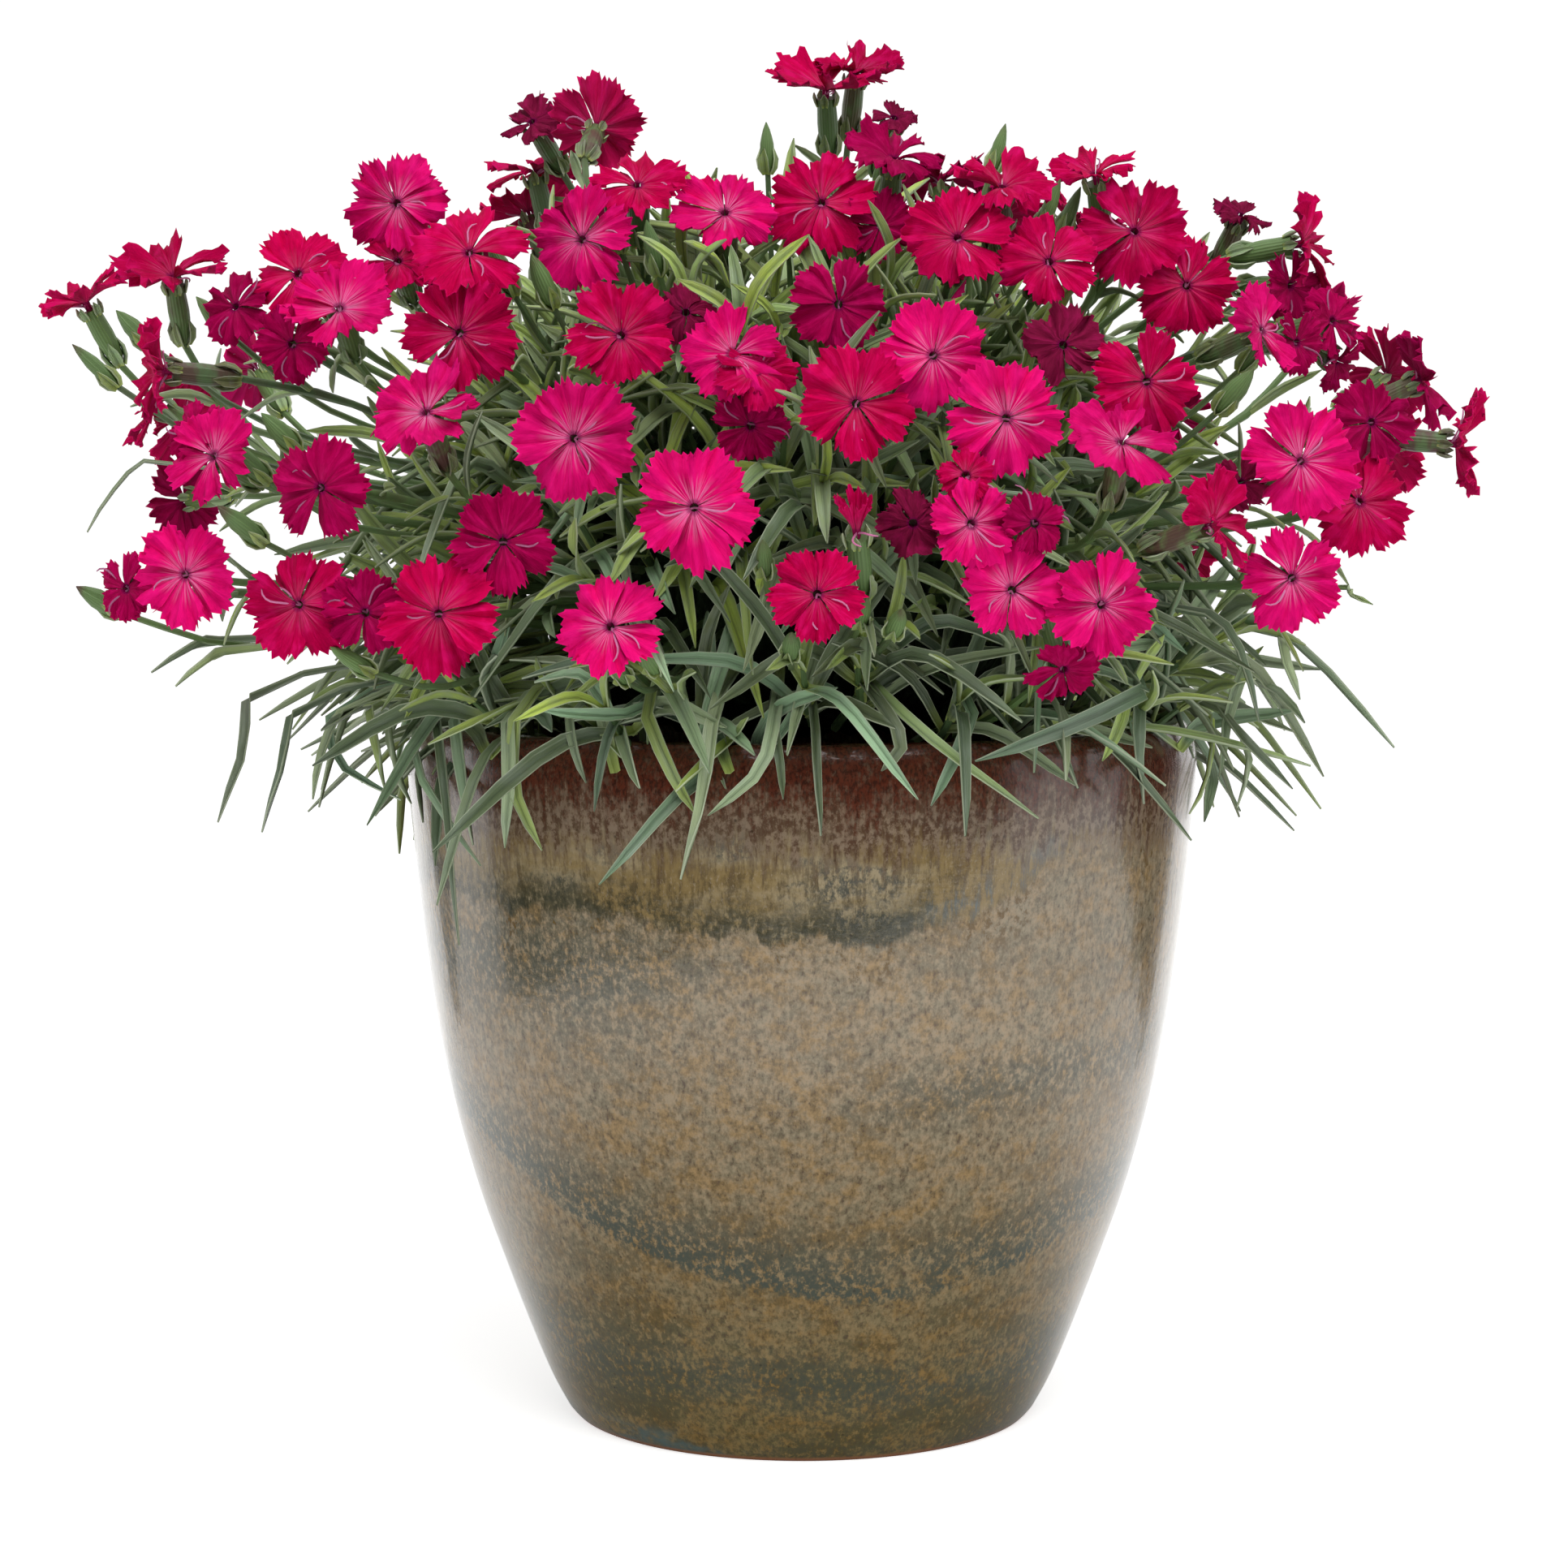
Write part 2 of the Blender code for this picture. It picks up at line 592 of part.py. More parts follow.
def place_blooms():
    placed, order, depths = [], [], {}
    for index, (bunch, u, v, size, turn, tilt, push, kind) in enumerate(BLOOMS):
        depth = depths[bunch] + push if bunch in depths else on_dome(u, v, push)[1]
        depths.setdefault(bunch, depth)
        centre = CAMERA + ray(u, v) * depth
        bloom = Bloom(bunch, centre, facing(turn, tilt), size * depth / FOCAL, kind, SEED + index)
        order.append((bloom, ray(u, v).normalized()))
    for index, (azimuth, height) in enumerate(BACK_BUNCHES):
        turn, rise = math.radians(azimuth), math.radians(height)
        way = Vector((math.cos(turn) * math.cos(rise), math.sin(turn) * math.cos(rise), math.sin(rise)))
        middle = DOME + Vector([way[k] * DOME_RADII[k] for k in range(3)])
        side, up = across(way)
        for step in range(BACK_COUNT):
            angle = math.tau * step / 3 + index
            reach = (side * math.cos(angle) + up * math.sin(angle)) * (0.0 if step == 0 else 1.0)
            centre = middle + reach * BACK_SPREAD
            face = way + reach * 0.55 + Vector((0, 0, 0.2))
            kind = ("red", "pink", "red", "wine")[step]
            seed = SEED + 200 + BACK_COUNT * index + step
            bloom = Bloom("back_" + "abcdefgh"[index], centre, face, BACK_RADIUS, kind, seed)
            order.append((bloom, way * -1.0))
    for bloom, line in order:
        if not settle(bloom, placed, line):
            print("left out for want of room: a bloom of", bloom.bunch)
            continue
        bloom.petal_tree = tree_of(*bloom.shape(CLEAR))
        bloom.thin_tree = tree_of(*bloom.shape(OVERLAP))
        bloom.calyx_tree = tree_of(*bloom.calyx_shape(CLEAR))
        placed.append(bloom)
    return placed


def smooth_path(points, count):
    """Even samples of a curve through points."""
    spans = len(points) - 1
    padded = [points[0] * 2 - points[1], *points, points[-1] * 2 - points[-2]]
    samples = []
    for step in range(count):
        place = spans * step / (count - 1)
        span = min(int(place), spans - 1)
        t = place - span
        p0, p1, p2, p3 = padded[span : span + 4]
        value = p1 * 2 + (p2 - p0) * t + (p0 * 2 - p1 * 5 + p2 * 4 - p3) * t**2
        samples.append((value + (p1 * 3 - p0 - p2 * 3 + p3) * t**3) * 0.5)
    return samples


def blade(points, width, rings, grow=0.0):
    """A leaf: a keeled blade along a path that narrows to a point."""
    path = smooth_path(points, rings + 1)
    sections = []
    for index in range(rings):
        ahead = path[min(index + 1, rings)] - path[max(index - 1, 0)]
        along = ahead.normalized()
        out = Vector((path[index].x, path[index].y, 60.0)).normalized()
        side = along.cross(out).normalized()
        face = side.cross(along).normalized()
        share = index / rings
        half = 0.5 * width * (0.62 + 0.38 * math.sin(math.pi * min(1.0, share + 0.25))) + grow
        thick = BLADE_THICK * (1.0 - 0.3 * share) + grow
        spine = path[index] - face * thick
        middle = path[index] + face * grow
        sections.append([middle + side * half, spine, middle - side * half])
    return loft(sections, end=path[rings])


def rod(path, radius, sides=3, grow=0.0):
    rings = []
    for index, centre in enumerate(path):
        ahead = path[min(index + 1, len(path) - 1)] - path[max(index - 1, 0)]
        side, up = across(ahead.normalized())
        rings.append(circle(centre, radius + grow, sides, side, up))
    return rings


def stalk_path(foot, face, root):
    """A stem that leaves a calyx straight and bends down into the core."""
    run = (foot - root).length
    near = root + (root - CORE).normalized() * (0.35 * run)
    high = foot - face * (0.35 * run)
    points = []
    for t in (0.0, 0.5, 1.0) if run > SHORT_STEM else (0.0, 1.0):
        u = 1.0 - t
        points.append(root * u**3 + near * (3 * u * u * t) + high * (3 * u * t * t) + foot * t**3)
    return points


def hits(shape, trees):
    own = tree_of(*shape)
    return any(own.overlap(tree) for tree in trees)


def outside(path):
    """The part of a path that stands out of the core, begun just under the core's skin."""
    kept = [point for point in path if not is_inside(point, 1.03)]
    return kept if len(kept) > 1 else path[-2:]


def is_inside(point, share):
    way = point - CORE
    return way.length < (core_point(way, share) - CORE).length


def stalk_and_calyx(bloom, trees, greens):
    """Stem and calyx of a bloom as one skin, on the first clear way down."""
    top, foot = bloom.calyx_ends()
    home = foot - CORE
    spare = None
    for swing in (0.0, 0.1, -0.1, 0.2, -0.2, 0.3, -0.3, 0.5, -0.5, 0.8, -0.8):
        for lift in (0.0, 20.0, -20.0, 40.0, -35.0, 60.0, 80.0):
            turned_way = Vector((
                home.x * math.cos(swing) - home.y * math.sin(swing),
                home.x * math.sin(swing) + home.y * math.cos(swing),
                home.z + lift,
            ))
            path = stalk_path(foot, bloom.face, core_point(turned_way, ROOT_SHARE))
            if hits(loft(rod(path, STEM_RADIUS, grow=CLEAR)), trees):
                continue
            free = smooth_path([*path, top], 9)
            if hits(loft(rod(outside(free), STEM_RADIUS + 0.3)), greens):
                spare = spare or path
                continue
            return calyx_skin(bloom, path)
    return calyx_skin(bloom, spare) if spare else None


def calyx_skin(bloom, path):
    top, foot = bloom.calyx_ends()
    side, up = across(bloom.face)
    rings = rod(path, STEM_RADIUS, STEM_SIDES)
    rings[-1] = circle(foot, CALYX_FOOT, STEM_SIDES, side, up)
    rings.append(circle(foot + bloom.face * 4.0, CALYX_RADIUS, STEM_SIDES, side, up))
    rings.append(circle(top, CALYX_RADIUS - 0.3, STEM_SIDES, side, up))
    return loft(align(rings))


def align(rings):
    """Turn each ring's start so that facing points follow one another."""
    fixed = [rings[0]]
    for ring in rings[1:]:
        count = len(ring)
        best = min(
            range(count),
            key=lambda k: sum((ring[(k + n) % count] - fixed[-1][n]).length for n in range(count)),
        )
        fixed.append([ring[(best + n) % count] for n in range(count)])
    return fixed


def bud_shape(u, v, trees, greens):
    """A closed bud on its stem, standing up and out of the dome."""
    for push in (6.0, 10.0, 2.0, 14.0, -4.0, 18.0, 24.0, 30.0):
        middle, _ = on_dome(u, v, push)
        way = (middle - CORE).normalized()
        way = (way + Vector((0, 0, 0.6))).normalized()
        foot, tip = middle - way * BUD_BELOW, middle + way * BUD_ABOVE
        root = core_point(foot - CORE, ROOT_SHARE)
        path = stalk_path(foot, way, root)
        side, up = across(way)
        grown = loft(rod(path, STEM_RADIUS, grow=CLEAR))
        around = [circle(foot, 2.0, STEM_SIDES, side, up), circle(middle, 3.0, STEM_SIDES, side, up)]
        fat = loft(around, end=tip + way * 0.6)
        if hits(grown, trees) or hits(fat, trees) or hits(fat, greens):
            continue
        if hits(loft(rod(outside(smooth_path(path, 7)), STEM_RADIUS + 0.3)), greens):
            continue
        rings = rod(path, STEM_RADIUS * 0.9, STEM_SIDES)
        rings[-1] = circle(foot, 1.2, STEM_SIDES, side, up)
        rings.append(circle(middle - way * 2.0, 2.1, STEM_SIDES, side, up))
        rings.append(circle(middle + way * 3.0, 1.7, STEM_SIDES, side, up))
        return loft(align(rings), end=tip)
    return None


def dome_leaf(index, draw):
    """Path and width of a leaf placed by rule over the bush."""
    azimuth = index * GOLDEN_TURN
    rise = math.asin(-0.1 + 1.08 * (index + 0.5) / DOME_LEAVES)
    way = Vector((math.cos(azimuth) * math.cos(rise), math.sin(azimuth) * math.cos(rise), math.sin(rise)))
    start = core_point(way, ROOT_SHARE)
    swing = Vector((draw.uniform(-1, 1), draw.uniform(-1, 1), draw.uniform(-0.3, 1))) * 0.45
    lean = (way + swing + Vector((0, 0, 0.35))).normalized()
    length = draw.uniform(42, 68)
    droop = length * (0.5 - 0.45 * math.sin(rise)) * draw.uniform(0.4, 1.0)
    middle = start + lean * (0.55 * length)
    tip = start + lean * length + way * (0.1 * length) - Vector((0, 0, droop))
    return [start, middle, tip], draw.uniform(4.0, 5.2)


def skirt_leaf(index, draw):
    """Path and width of a leaf that bends over the rim behind the pot."""
    azimuth = math.radians(-14.0 + 208.0 * (index + draw.uniform(0.2, 0.8)) / SKIRT_LEAVES)
    swing = azimuth + draw.uniform(-0.25, 0.25)
    way = Vector((math.cos(azimuth), math.sin(azimuth), 0.0))
    out = Vector((math.cos(swing), math.sin(swing), 0.0))
    reach, fall = draw.uniform(106, 132), draw.uniform(5, 45)
    start = core_point(way + Vector((0, 0, draw.uniform(-0.05, 0.3))), ROOT_SHARE)
    over = way * 97.0 + Vector((0, 0, draw.uniform(189, 206)))
    bend = out * (reach * 0.93) + Vector((0, 0, over.z - 0.25 * fall - 4.0))
    return [start, over, bend, out * reach + Vector((0, 0, over.z - fall))], draw.uniform(3.2, 4.4)


def make_core():
    """The dark dense middle with its crown neck, which stands in the soil's hole."""
    bpy.ops.mesh.primitive_ico_sphere_add(subdivisions=3, radius=1.0)
    core = bpy.context.active_object
    core.name = "foliage"
    draw = random.Random(SEED)
    for vert in core.data.vertices:
        way = vert.co.normalized()
        point = core_point(way, 1.0) - way * draw.uniform(0, CORE_BUMPS)
        vert.co = point * MM
    core.data.shade_smooth()
    return core


def clear_part(shape):
    """A search tree of the faces of a green piece that stand out of the core."""
    verts, faces = shape
    kept = [face for face in faces if not all(is_inside(verts[k], 1.03) for k in face)]
    return tree_of(verts, kept or faces)


def make_foliage(blooms, pot_tree):
    """Everything green: core, leaves, stems, calyces and buds in one fused body."""
    petals = [bloom.petal_tree for bloom in blooms]
    core = make_core()
    up, side = Vector((0, 1, 0)), Vector((1, 0, 0))
    neck = [circle(Vector((0, 0, z)), NECK_RADIUS, 12, side, up) for z in (NECK_BOTTOM, 190.0)]
    parts = [solid("neck", *loft(neck))]
    greens = []
    for bloom in blooms:
        others = [tree for tree in petals if tree is not bloom.petal_tree]
        calyces = [other.calyx_tree for other in blooms if other is not bloom]
        shape = stalk_and_calyx(bloom, others, greens + calyces)
        if shape is None:
            print("left without a stem: a bloom of", bloom.bunch)
            continue
        greens.append(clear_part(shape))
        parts.append(solid("stalk", *shape))
    for u, v in BUDS:
        shape = bud_shape(u, v, petals, greens)
        if shape is None:
            print("left out for want of room: the bud at", u, v)
            continue
        greens.append(clear_part(shape))
        parts.append(solid("bud", *shape))
    others = petals + [pot_tree]
    for width, *points in LEAVES:
        path = [on_cylinder(*point) for point in points]
        path.insert(0, core_point(path[0] - CORE, ROOT_SHARE))
        if hits(blade(path, width, HAND_RINGS, CLEAR), others):
            print("left out for want of room: the leaf from", points[0])
            continue
        shape = blade(path, width, HAND_RINGS)
        greens.append(clear_part(shape))
        parts.append(solid("leaf", *shape))
    draw = random.Random(SEED)
    leaves = [(*skirt_leaf(index, draw), SKIRT_RINGS) for index in range(SKIRT_LEAVES)]
    leaves += [(*dome_leaf(index, draw), LEAF_RINGS) for index in range(DOME_LEAVES)]
    for path, width, rings in leaves:
        shape = blade(path, width, rings)
        own = clear_part(shape)
        if hits(blade(path, width, rings, CLEAR), others) or any(own.overlap(tree) for tree in greens):
            continue
        greens.append(own)
        parts.append(solid("leaf", *shape))
    fuse(core, parts)
    drop_scraps(core)
    core.data.materials.clear()
    core.data.materials.append(make_material("foliage", GREEN, 0.6))
    return core


def make_petals(blooms):
    """One node for each bunch of blooms whose petals run into one another."""
    names = []
    for bloom in blooms:
        if bloom.bunch not in names:
            names.append(bloom.bunch)
    for name in names:
        members = [bloom for bloom in blooms if bloom.bunch == name]
        shapes = [solid("petals_" + name, *bloom.shape()) for bloom in members]
        base = shapes[0]
        if len(shapes) > 1:
            fuse(base, shapes[1:])
            drop_scraps(base)
        kind = members[0].kind
        base.data.materials.clear()
        base.data.materials.append(make_material("petals_" + name, TINTS[kind], 0.55))
        base.name = "petals_" + name


def main():
    clear_scene()
    pot = make_pot()
    make_soil()
    blooms = place_blooms()
    corners = [vert.co / MM for vert in pot.data.vertices]
    pot_tree = tree_of(corners, [tuple(face.vertices) for face in pot.data.polygons])
    make_foliage(blooms, pot_tree)
    make_petals(blooms)


main()
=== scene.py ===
"""The dressed model of a dianthus in bloom in its glazed pot, round the CAD frame.

Lengths in this script are millimetres until a mesh is written, which is in metres.
"""

import functools
import math
import random

import bpy
import numpy as np
from bpy.props import FloatProperty, FloatVectorProperty, IntProperty, PointerProperty
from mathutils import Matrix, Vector, noise
from mathutils.bvhtree import BVHTree


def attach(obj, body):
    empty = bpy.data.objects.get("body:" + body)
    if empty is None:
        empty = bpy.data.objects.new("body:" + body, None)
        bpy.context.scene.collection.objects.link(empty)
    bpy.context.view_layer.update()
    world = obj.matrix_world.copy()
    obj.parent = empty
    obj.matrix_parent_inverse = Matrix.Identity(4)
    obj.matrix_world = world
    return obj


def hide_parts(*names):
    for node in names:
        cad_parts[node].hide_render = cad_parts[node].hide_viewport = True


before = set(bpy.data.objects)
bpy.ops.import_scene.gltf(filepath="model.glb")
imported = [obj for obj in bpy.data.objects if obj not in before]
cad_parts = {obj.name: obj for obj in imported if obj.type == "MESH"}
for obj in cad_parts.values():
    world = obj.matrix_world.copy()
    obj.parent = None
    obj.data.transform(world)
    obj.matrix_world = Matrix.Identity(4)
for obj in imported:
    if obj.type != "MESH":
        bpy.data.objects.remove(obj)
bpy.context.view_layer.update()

bl_info = {
    "name": "Potted dianthus",
    "version": (1, 0, 0),
    "blender": (4, 5, 0),
    "location": "3D View > Sidebar > Dianthus",
    "description": "Dresses the solids of a potted dianthus with blooms, leaves, soil and glaze",
    "category": "Object",
}

MM = 0.001
UP = Vector((0, 0, 1))

# the camera that took the photograph: place in mm, pitch down, focal length in pixels
CAMERA = Vector((-4.5, -944.0, 244.0))
PITCH = math.radians(5.06)
FOCAL = 4569.0
FRAME_SIZE = 1932.0
MIDDLE = 966.0
SENSOR = 36.0

# the pot, as in its solid: outer half profile as (height, radius), the lip and the inside
POT_OUTER = [
    (0.0, 59.4), (12.7, 65.9), (37.5, 75.5), (62.3, 84.1), (91.0, 91.2),
    (124.0, 96.2), (162.0, 100.0), (172.5, 99.6),
]
POT_LIP = [(177.2, 97.0), (178.0, 94.2), (172.0, 91.0)]
POT_INNER = [(130.0, 88.2), (80.0, 80.0), (30.0, 63.0), (10.0, 54.0)]
INNER_WALL = 84.0
RIM_TOP = 178.0
FOOT_BEVEL = 0.8
DRAIN_RADIUS = 6.0
DRAIN_OFFSET = 34.0
DRAINS = 3
GAP = 0.35
SOIL_TOP = 161.0
SOIL_CROWN = 164.0
SOIL_RING = 60.0
NECK_RADIUS = 13.0
NECK_BOTTOM = 149.0

# the dense middle of the bush and the dome that the blooms stand on, as in the solids
CORE = Vector((-3.0, 0.0, 210.0))
CORE_ACROSS = 74.0
CORE_UP = 50.0
CORE_DOWN = 42.0
CORE_FULLNESS = 3.0
ROOT_SHARE = 0.82
DOME = Vector((-5.0, 0.0, 225.0))
DOME_RADII = Vector((188.0, 130.0, 118.0))
CROWN_PUSH = 95.0

PETALS = 5
PETAL_SOLID = 0.8
CLAW_RADIUS = 1.6
CLAW_DEPTH = 3.0
CALYX_LENGTH = 15.0
CALYX_RADIUS = 2.5
STEM_RADIUS = 0.9
STEM_ROWS = 10
SEED = 29

# vector noise starts from the clock unless it has a seed
noise.seed_set(SEED)

# how far bunches stay apart, and how deep the petals of one bunch run into one another
CLEAR = 0.5
BITE = -0.2

# where a bloom may move to when it is settled: along its line of sight, and towards its bunch
DEPTHS = (0, 1.5, -1.5, 3, -3, 5, -5, 7, -7, 9, -9, 12, -12, 15, -15, 18, 22, 26, 30)
NEARER = (0.0, 2.0, 4.0, 6.0, 8.0, 10.0)

# where the stem of a bloom may turn to, and how far back a bud may stand
SWINGS = (0.0, 0.1, -0.1, 0.2, -0.2, 0.3, -0.3, 0.5, -0.5, 0.8, -0.8)
LIFTS = (0.0, 20.0, -20.0, 40.0, -35.0, 60.0, 80.0)
BUD_PUSHES = (6.0, 10.0, 2.0, 14.0, -4.0, 18.0, 24.0, 30.0)

# blooms read from the photograph, by bunch: throat u, throat v, radius in pixels,
# turn to the right and tilt upwards in degrees, push away from the camera in mm, kind
BLOOMS = {
    "front_a": [(540, 756, 79, -8, 4, 0, "red"), (620, 667, 67, 6, 8, 2, "wine")],
    "front_b": [(368, 745, 72, -14, 6, 0, "red"), (450, 755, 52, -10, 0, 12, "wine")],
    "front_c": [(752, 772, 69, -10, 20, 0, "pink")],
    "front_d": [(855, 625, 80, -4, 5, 0, "pink")],
    "front_e": [(1007, 732, 64, 2, 4, 0, "red")],
    "front_f": [(1357, 745, 69, 12, 6, 0, "pink"), (1247, 727, 64, 4, 8, 4, "pink")],
    "front_g": [
        (1197, 645, 60, 18, 6, 0, "pink"), (1275, 645, 42, 10, 10, 10, "wine"),
        (1190, 586, 36, 0, 20, 10, "red"),
    ],
    "front_h": [(1310, 825, 50, 10, -40, 4, "wine")],
    "front_i": [(1055, 650, 38, -10, 60, 6, "half")],
    "front_j": [(1125, 645, 52, 0, -10, 10, "faded")],
    "mid_a": [(707, 540, 80, -6, 5, 0, "pink")],
    "mid_b": [(525, 508, 70, -15, 45, 0, "pink")],
    "mid_c": [(395, 601, 66, -14, 2, 0, "wine")],
    "mid_d": [(1055, 497, 76, 2, 5, 0, "red")],
    "mid_e": [(1240, 515, 77, 6, 8, 0, "pink")],
    "mid_f": [(1382, 545, 70, 8, 52, 0, "pink")],
    "mid_g": [(1413, 470, 68, 12, 5, 0, "red")],
    "mid_h": [(1310, 425, 58, 4, 20, 4, "faded")],
    "mid_i": [(1150, 438, 69, 4, 15, 0, "pink")],
    "mid_j": [
        (903, 436, 65, -4, 20, 0, "pink"), (950, 470, 55, 4, 36, 8, "red"),
        (925, 525, 48, 0, -20, 12, "wine"),
    ],
    "mid_k": [(765, 413, 70, 5, 20, 0, "red")],
    "mid_l": [(845, 385, 46, 0, 30, 8, "faded")],
    "mid_m": [(566, 410, 74, -6, 5, 0, "red"), (578, 311, 72, -6, 35, 4, "red")],
    "mid_n": [(1033, 375, 62, 0, 2, 4, "wine")],
    "top_a": [(489, 250, 66, -5, 10, 0, "pink"), (490, 322, 50, -8, 30, 10, "red")],
    "top_b": [(717, 295, 68, -15, 15, 0, "pink"), (785, 228, 62, 0, 45, 6, "red")],
    "top_c": [(735, 158, 62, 172, 30, 10, "red")],
    "top_d": [(655, 150, 46, -30, 40, 24, "faded"), (628, 222, 50, -10, 20, 20, "faded")],
    "top_e": [(893, 262, 68, -2, 38, 0, "pink")],
    "top_f": [
        (1012, 250, 70, -5, 20, 0, "red"), (1085, 278, 46, 10, 10, 10, "wine"),
        (1110, 190, 62, 10, 60, 8, "wine"),
    ],
    "top_g": [(1055, 88, 55, 20, 72, 16, "red"), (985, 128, 68, -10, 70, 8, "red")],
    "top_h": [(1102, 145, 32, 20, 50, 30, "faded")],
    "top_i": [
        (1180, 293, 72, 4, 30, 0, "red"), (1235, 230, 66, 8, 62, 6, "red"),
        (1303, 325, 66, 8, 25, 4, "red"),
    ],
    "top_j": [
        (1398, 285, 72, 10, 25, 0, "red"), (1343, 206, 56, -20, 60, 8, "red"),
        (1462, 352, 66, 8, 12, 4, "red"),
    ],
    "right_a": [(1555, 407, 60, 50, 20, 0, "pink"), (1598, 422, 40, 40, 0, 10, "wine")],
    "right_b": [(1605, 300, 64, 75, 10, 0, "red"), (1590, 352, 46, 40, 0, 8, "wine")],
    "right_c": [(1642, 395, 44, 40, 10, 10, "wine"), (1648, 446, 40, 60, -30, 10, "wine")],
    "right_d": [(1530, 265, 42, 30, 50, 16, "faded")],
    "right_e": [(1603, 568, 80, 18, 20, 0, "pink")],
    "right_f": [(1690, 520, 58, 24, 10, 10, "wine"), (1675, 618, 68, 18, 8, 8, "red")],
    "right_g": [(1795, 547, 66, 78, -5, 10, "red")],
    "right_h": [(1592, 712, 67, 8, 5, -4, "pink")],
    "right_i": [(1495, 645, 68, 60, 20, -2, "red")],
    "right_j": [(1530, 595, 44, 30, 10, 14, "faded")],
    "left_a": [(105, 372, 60, -60, 60, 6, "red")],
    "left_g": [(200, 457, 65, -75, 5, 0, "red")],
    "left_b": [(213, 340, 72, -10, 65, 6, "red")],
    "left_c": [(367, 337, 65, -10, 25, 0, "red"), (290, 378, 50, -30, 20, 10, "wine")],
    "left_d": [(418, 380, 72, -8, 38, 0, "pink"), (360, 424, 47, -10, 0, 10, "wine")],
    "left_e": [(263, 562, 64, -30, 20, 0, "pink"), (240, 532, 42, -30, 20, 10, "wine")],
    "left_f": [(228, 708, 70, -16, 6, 0, "pink"), (155, 725, 45, -30, 4, 10, "wine")],
}

# unseen side: bunches of blooms behind as azimuth and height in degrees over the dome's middle
BACK_BUNCHES = {
    "a": (24, 20), "b": (56, 6), "c": (62, 46), "d": (104, 14), "e": (122, 46), "f": (152, 14),
}
BACK_KINDS = ("red", "pink", "red", "wine")
BACK_RADIUS = 14.0
BACK_SPREAD = 25.0
BACK_SEED = SEED + 200

# buds read from the photograph: u, v
BUDS = [
    (268, 395), (122, 455), (165, 405), (670, 350), (757, 280), (805, 308), (945, 182), (1230, 184),
    (1292, 258), (1318, 262), (905, 492), (1022, 520), (308, 572), (302, 650), (345, 532), (124, 740),
    (436, 815), (762, 827), (800, 812), (1063, 756), (975, 795), (942, 690), (1105, 768), (1548, 432),
    (1520, 484), (620, 335),
]

# leaves read from the photograph: width in mm, then points as (u, v, distance from the pot's axis in mm)
LEAVES = [
    (4.2, (885, 868, 99), (868, 985, 111), (838, 1083, 104)),
    (3.4, (955, 880, 100), (935, 950, 112), (872, 1005, 110)),
    (3.6, (800, 862, 99), (826, 945, 110), (857, 1003, 107)),
    (2.6, (768, 880, 99), (745, 925, 108), (732, 1000, 105)),
    (2.4, (712, 872, 98), (708, 920, 108), (722, 965, 105)),
    (3.6, (640, 868, 100), (628, 965, 112), (622, 1045, 106)),
    (3.6, (650, 862, 100), (634, 970, 110), (668, 1048, 106)),
    (4.4, (577, 862, 100), (574, 960, 112), (582, 1041, 107)),
    (3.6, (540, 862, 102), (518, 945, 112), (592, 1067, 107)),
    (3.0, (552, 850, 101), (552, 980, 113), (565, 1165, 106)),
    (3.6, (640, 868, 100), (590, 890, 114), (527, 917, 122)),
    (3.4, (790, 876, 99), (730, 880, 114), (662, 874, 124)),
    (4.6, (1405, 838, 108), (1320, 892, 119), (1202, 938, 122)),
    (4.0, (1078, 862, 100), (1108, 915, 113), (1086, 950, 108)),
    (3.2, (1092, 862, 100), (1172, 932, 112), (1280, 1008, 106)),
    (3.4, (1192, 862, 99), (1178, 930, 110), (1147, 993, 106)),
    (2.4, (952, 880, 98), (960, 935, 107), (965, 985, 105)),
    (2.4, (1002, 880, 98), (1006, 960, 107), (1012, 1030, 104)),
    (3.4, (1372, 850, 101), (1375, 900, 110), (1358, 938, 108)),
    (4.4, (1384, 855, 101), (1398, 925, 112), (1410, 990, 107)),
    (3.4, (1475, 862, 106), (1525, 905, 124), (1593, 972, 134)),
    (3.4, (1475, 862, 106), (1535, 925, 124), (1525, 995, 122)),
    (2.6, (1470, 862, 105), (1488, 945, 113), (1466, 1003, 108)),
    (3.4, (1514, 800, 112), (1510, 880, 116), (1503, 957, 114)),
    (4.2, (1456, 752, 110), (1518, 790, 122), (1552, 890, 126)),
    (3.4, (1548, 775, 118), (1580, 812, 128), (1602, 862, 132)),
    (2.0, (1630, 724, 132), (1660, 732, 140), (1692, 745, 146)),
    (4.2, (340, 842, 134), (305, 925, 146), (268, 1013, 150)),
    (4.0, (392, 862, 126), (352, 940, 138), (322, 1025, 140)),
    (4.0, (312, 790, 140), (245, 796, 154), (186, 828, 166)),
    (3.6, (318, 800, 140), (262, 812, 152), (216, 845, 160)),
    (1.8, (232, 572, 156), (150, 596, 172), (107, 655, 182)),
    (3.2, (452, 862, 118), (402, 920, 130), (385, 985, 132)),
    (2.4, (432, 862, 120), (420, 940, 126), (494, 985, 118)),
    (3.6, (478, 858, 112), (468, 920, 120), (474, 975, 118)),
    (3.8, (502, 862, 108), (486, 925, 118), (506, 990, 112)),
]

# leaves that hang over the rim on the unseen side, by rule
SKIRT_LEAVES = 26

# how far each kind of bloom is cupped and spread, how crumpled as shares of its radius, how fresh
CUP = {"half": 0.8, "faded": 0.05}
SPREAD = {"half": 0.62, "faded": 0.86}
CRUMPLED = {"faded": 0.26, "wine": 0.1}
FRESH = {"red": 0.55, "pink": 1.0, "wine": 0.25, "half": 0.6, "faded": 0.0}

# share of a petal's length at each row of its blank: the foot of the claw, the mouth, the blade
PETAL_ROWS = [-1.0, 0.0, 0.2, 0.42, 0.64, 0.85, 1.0]
PETAL_COLUMNS = 20
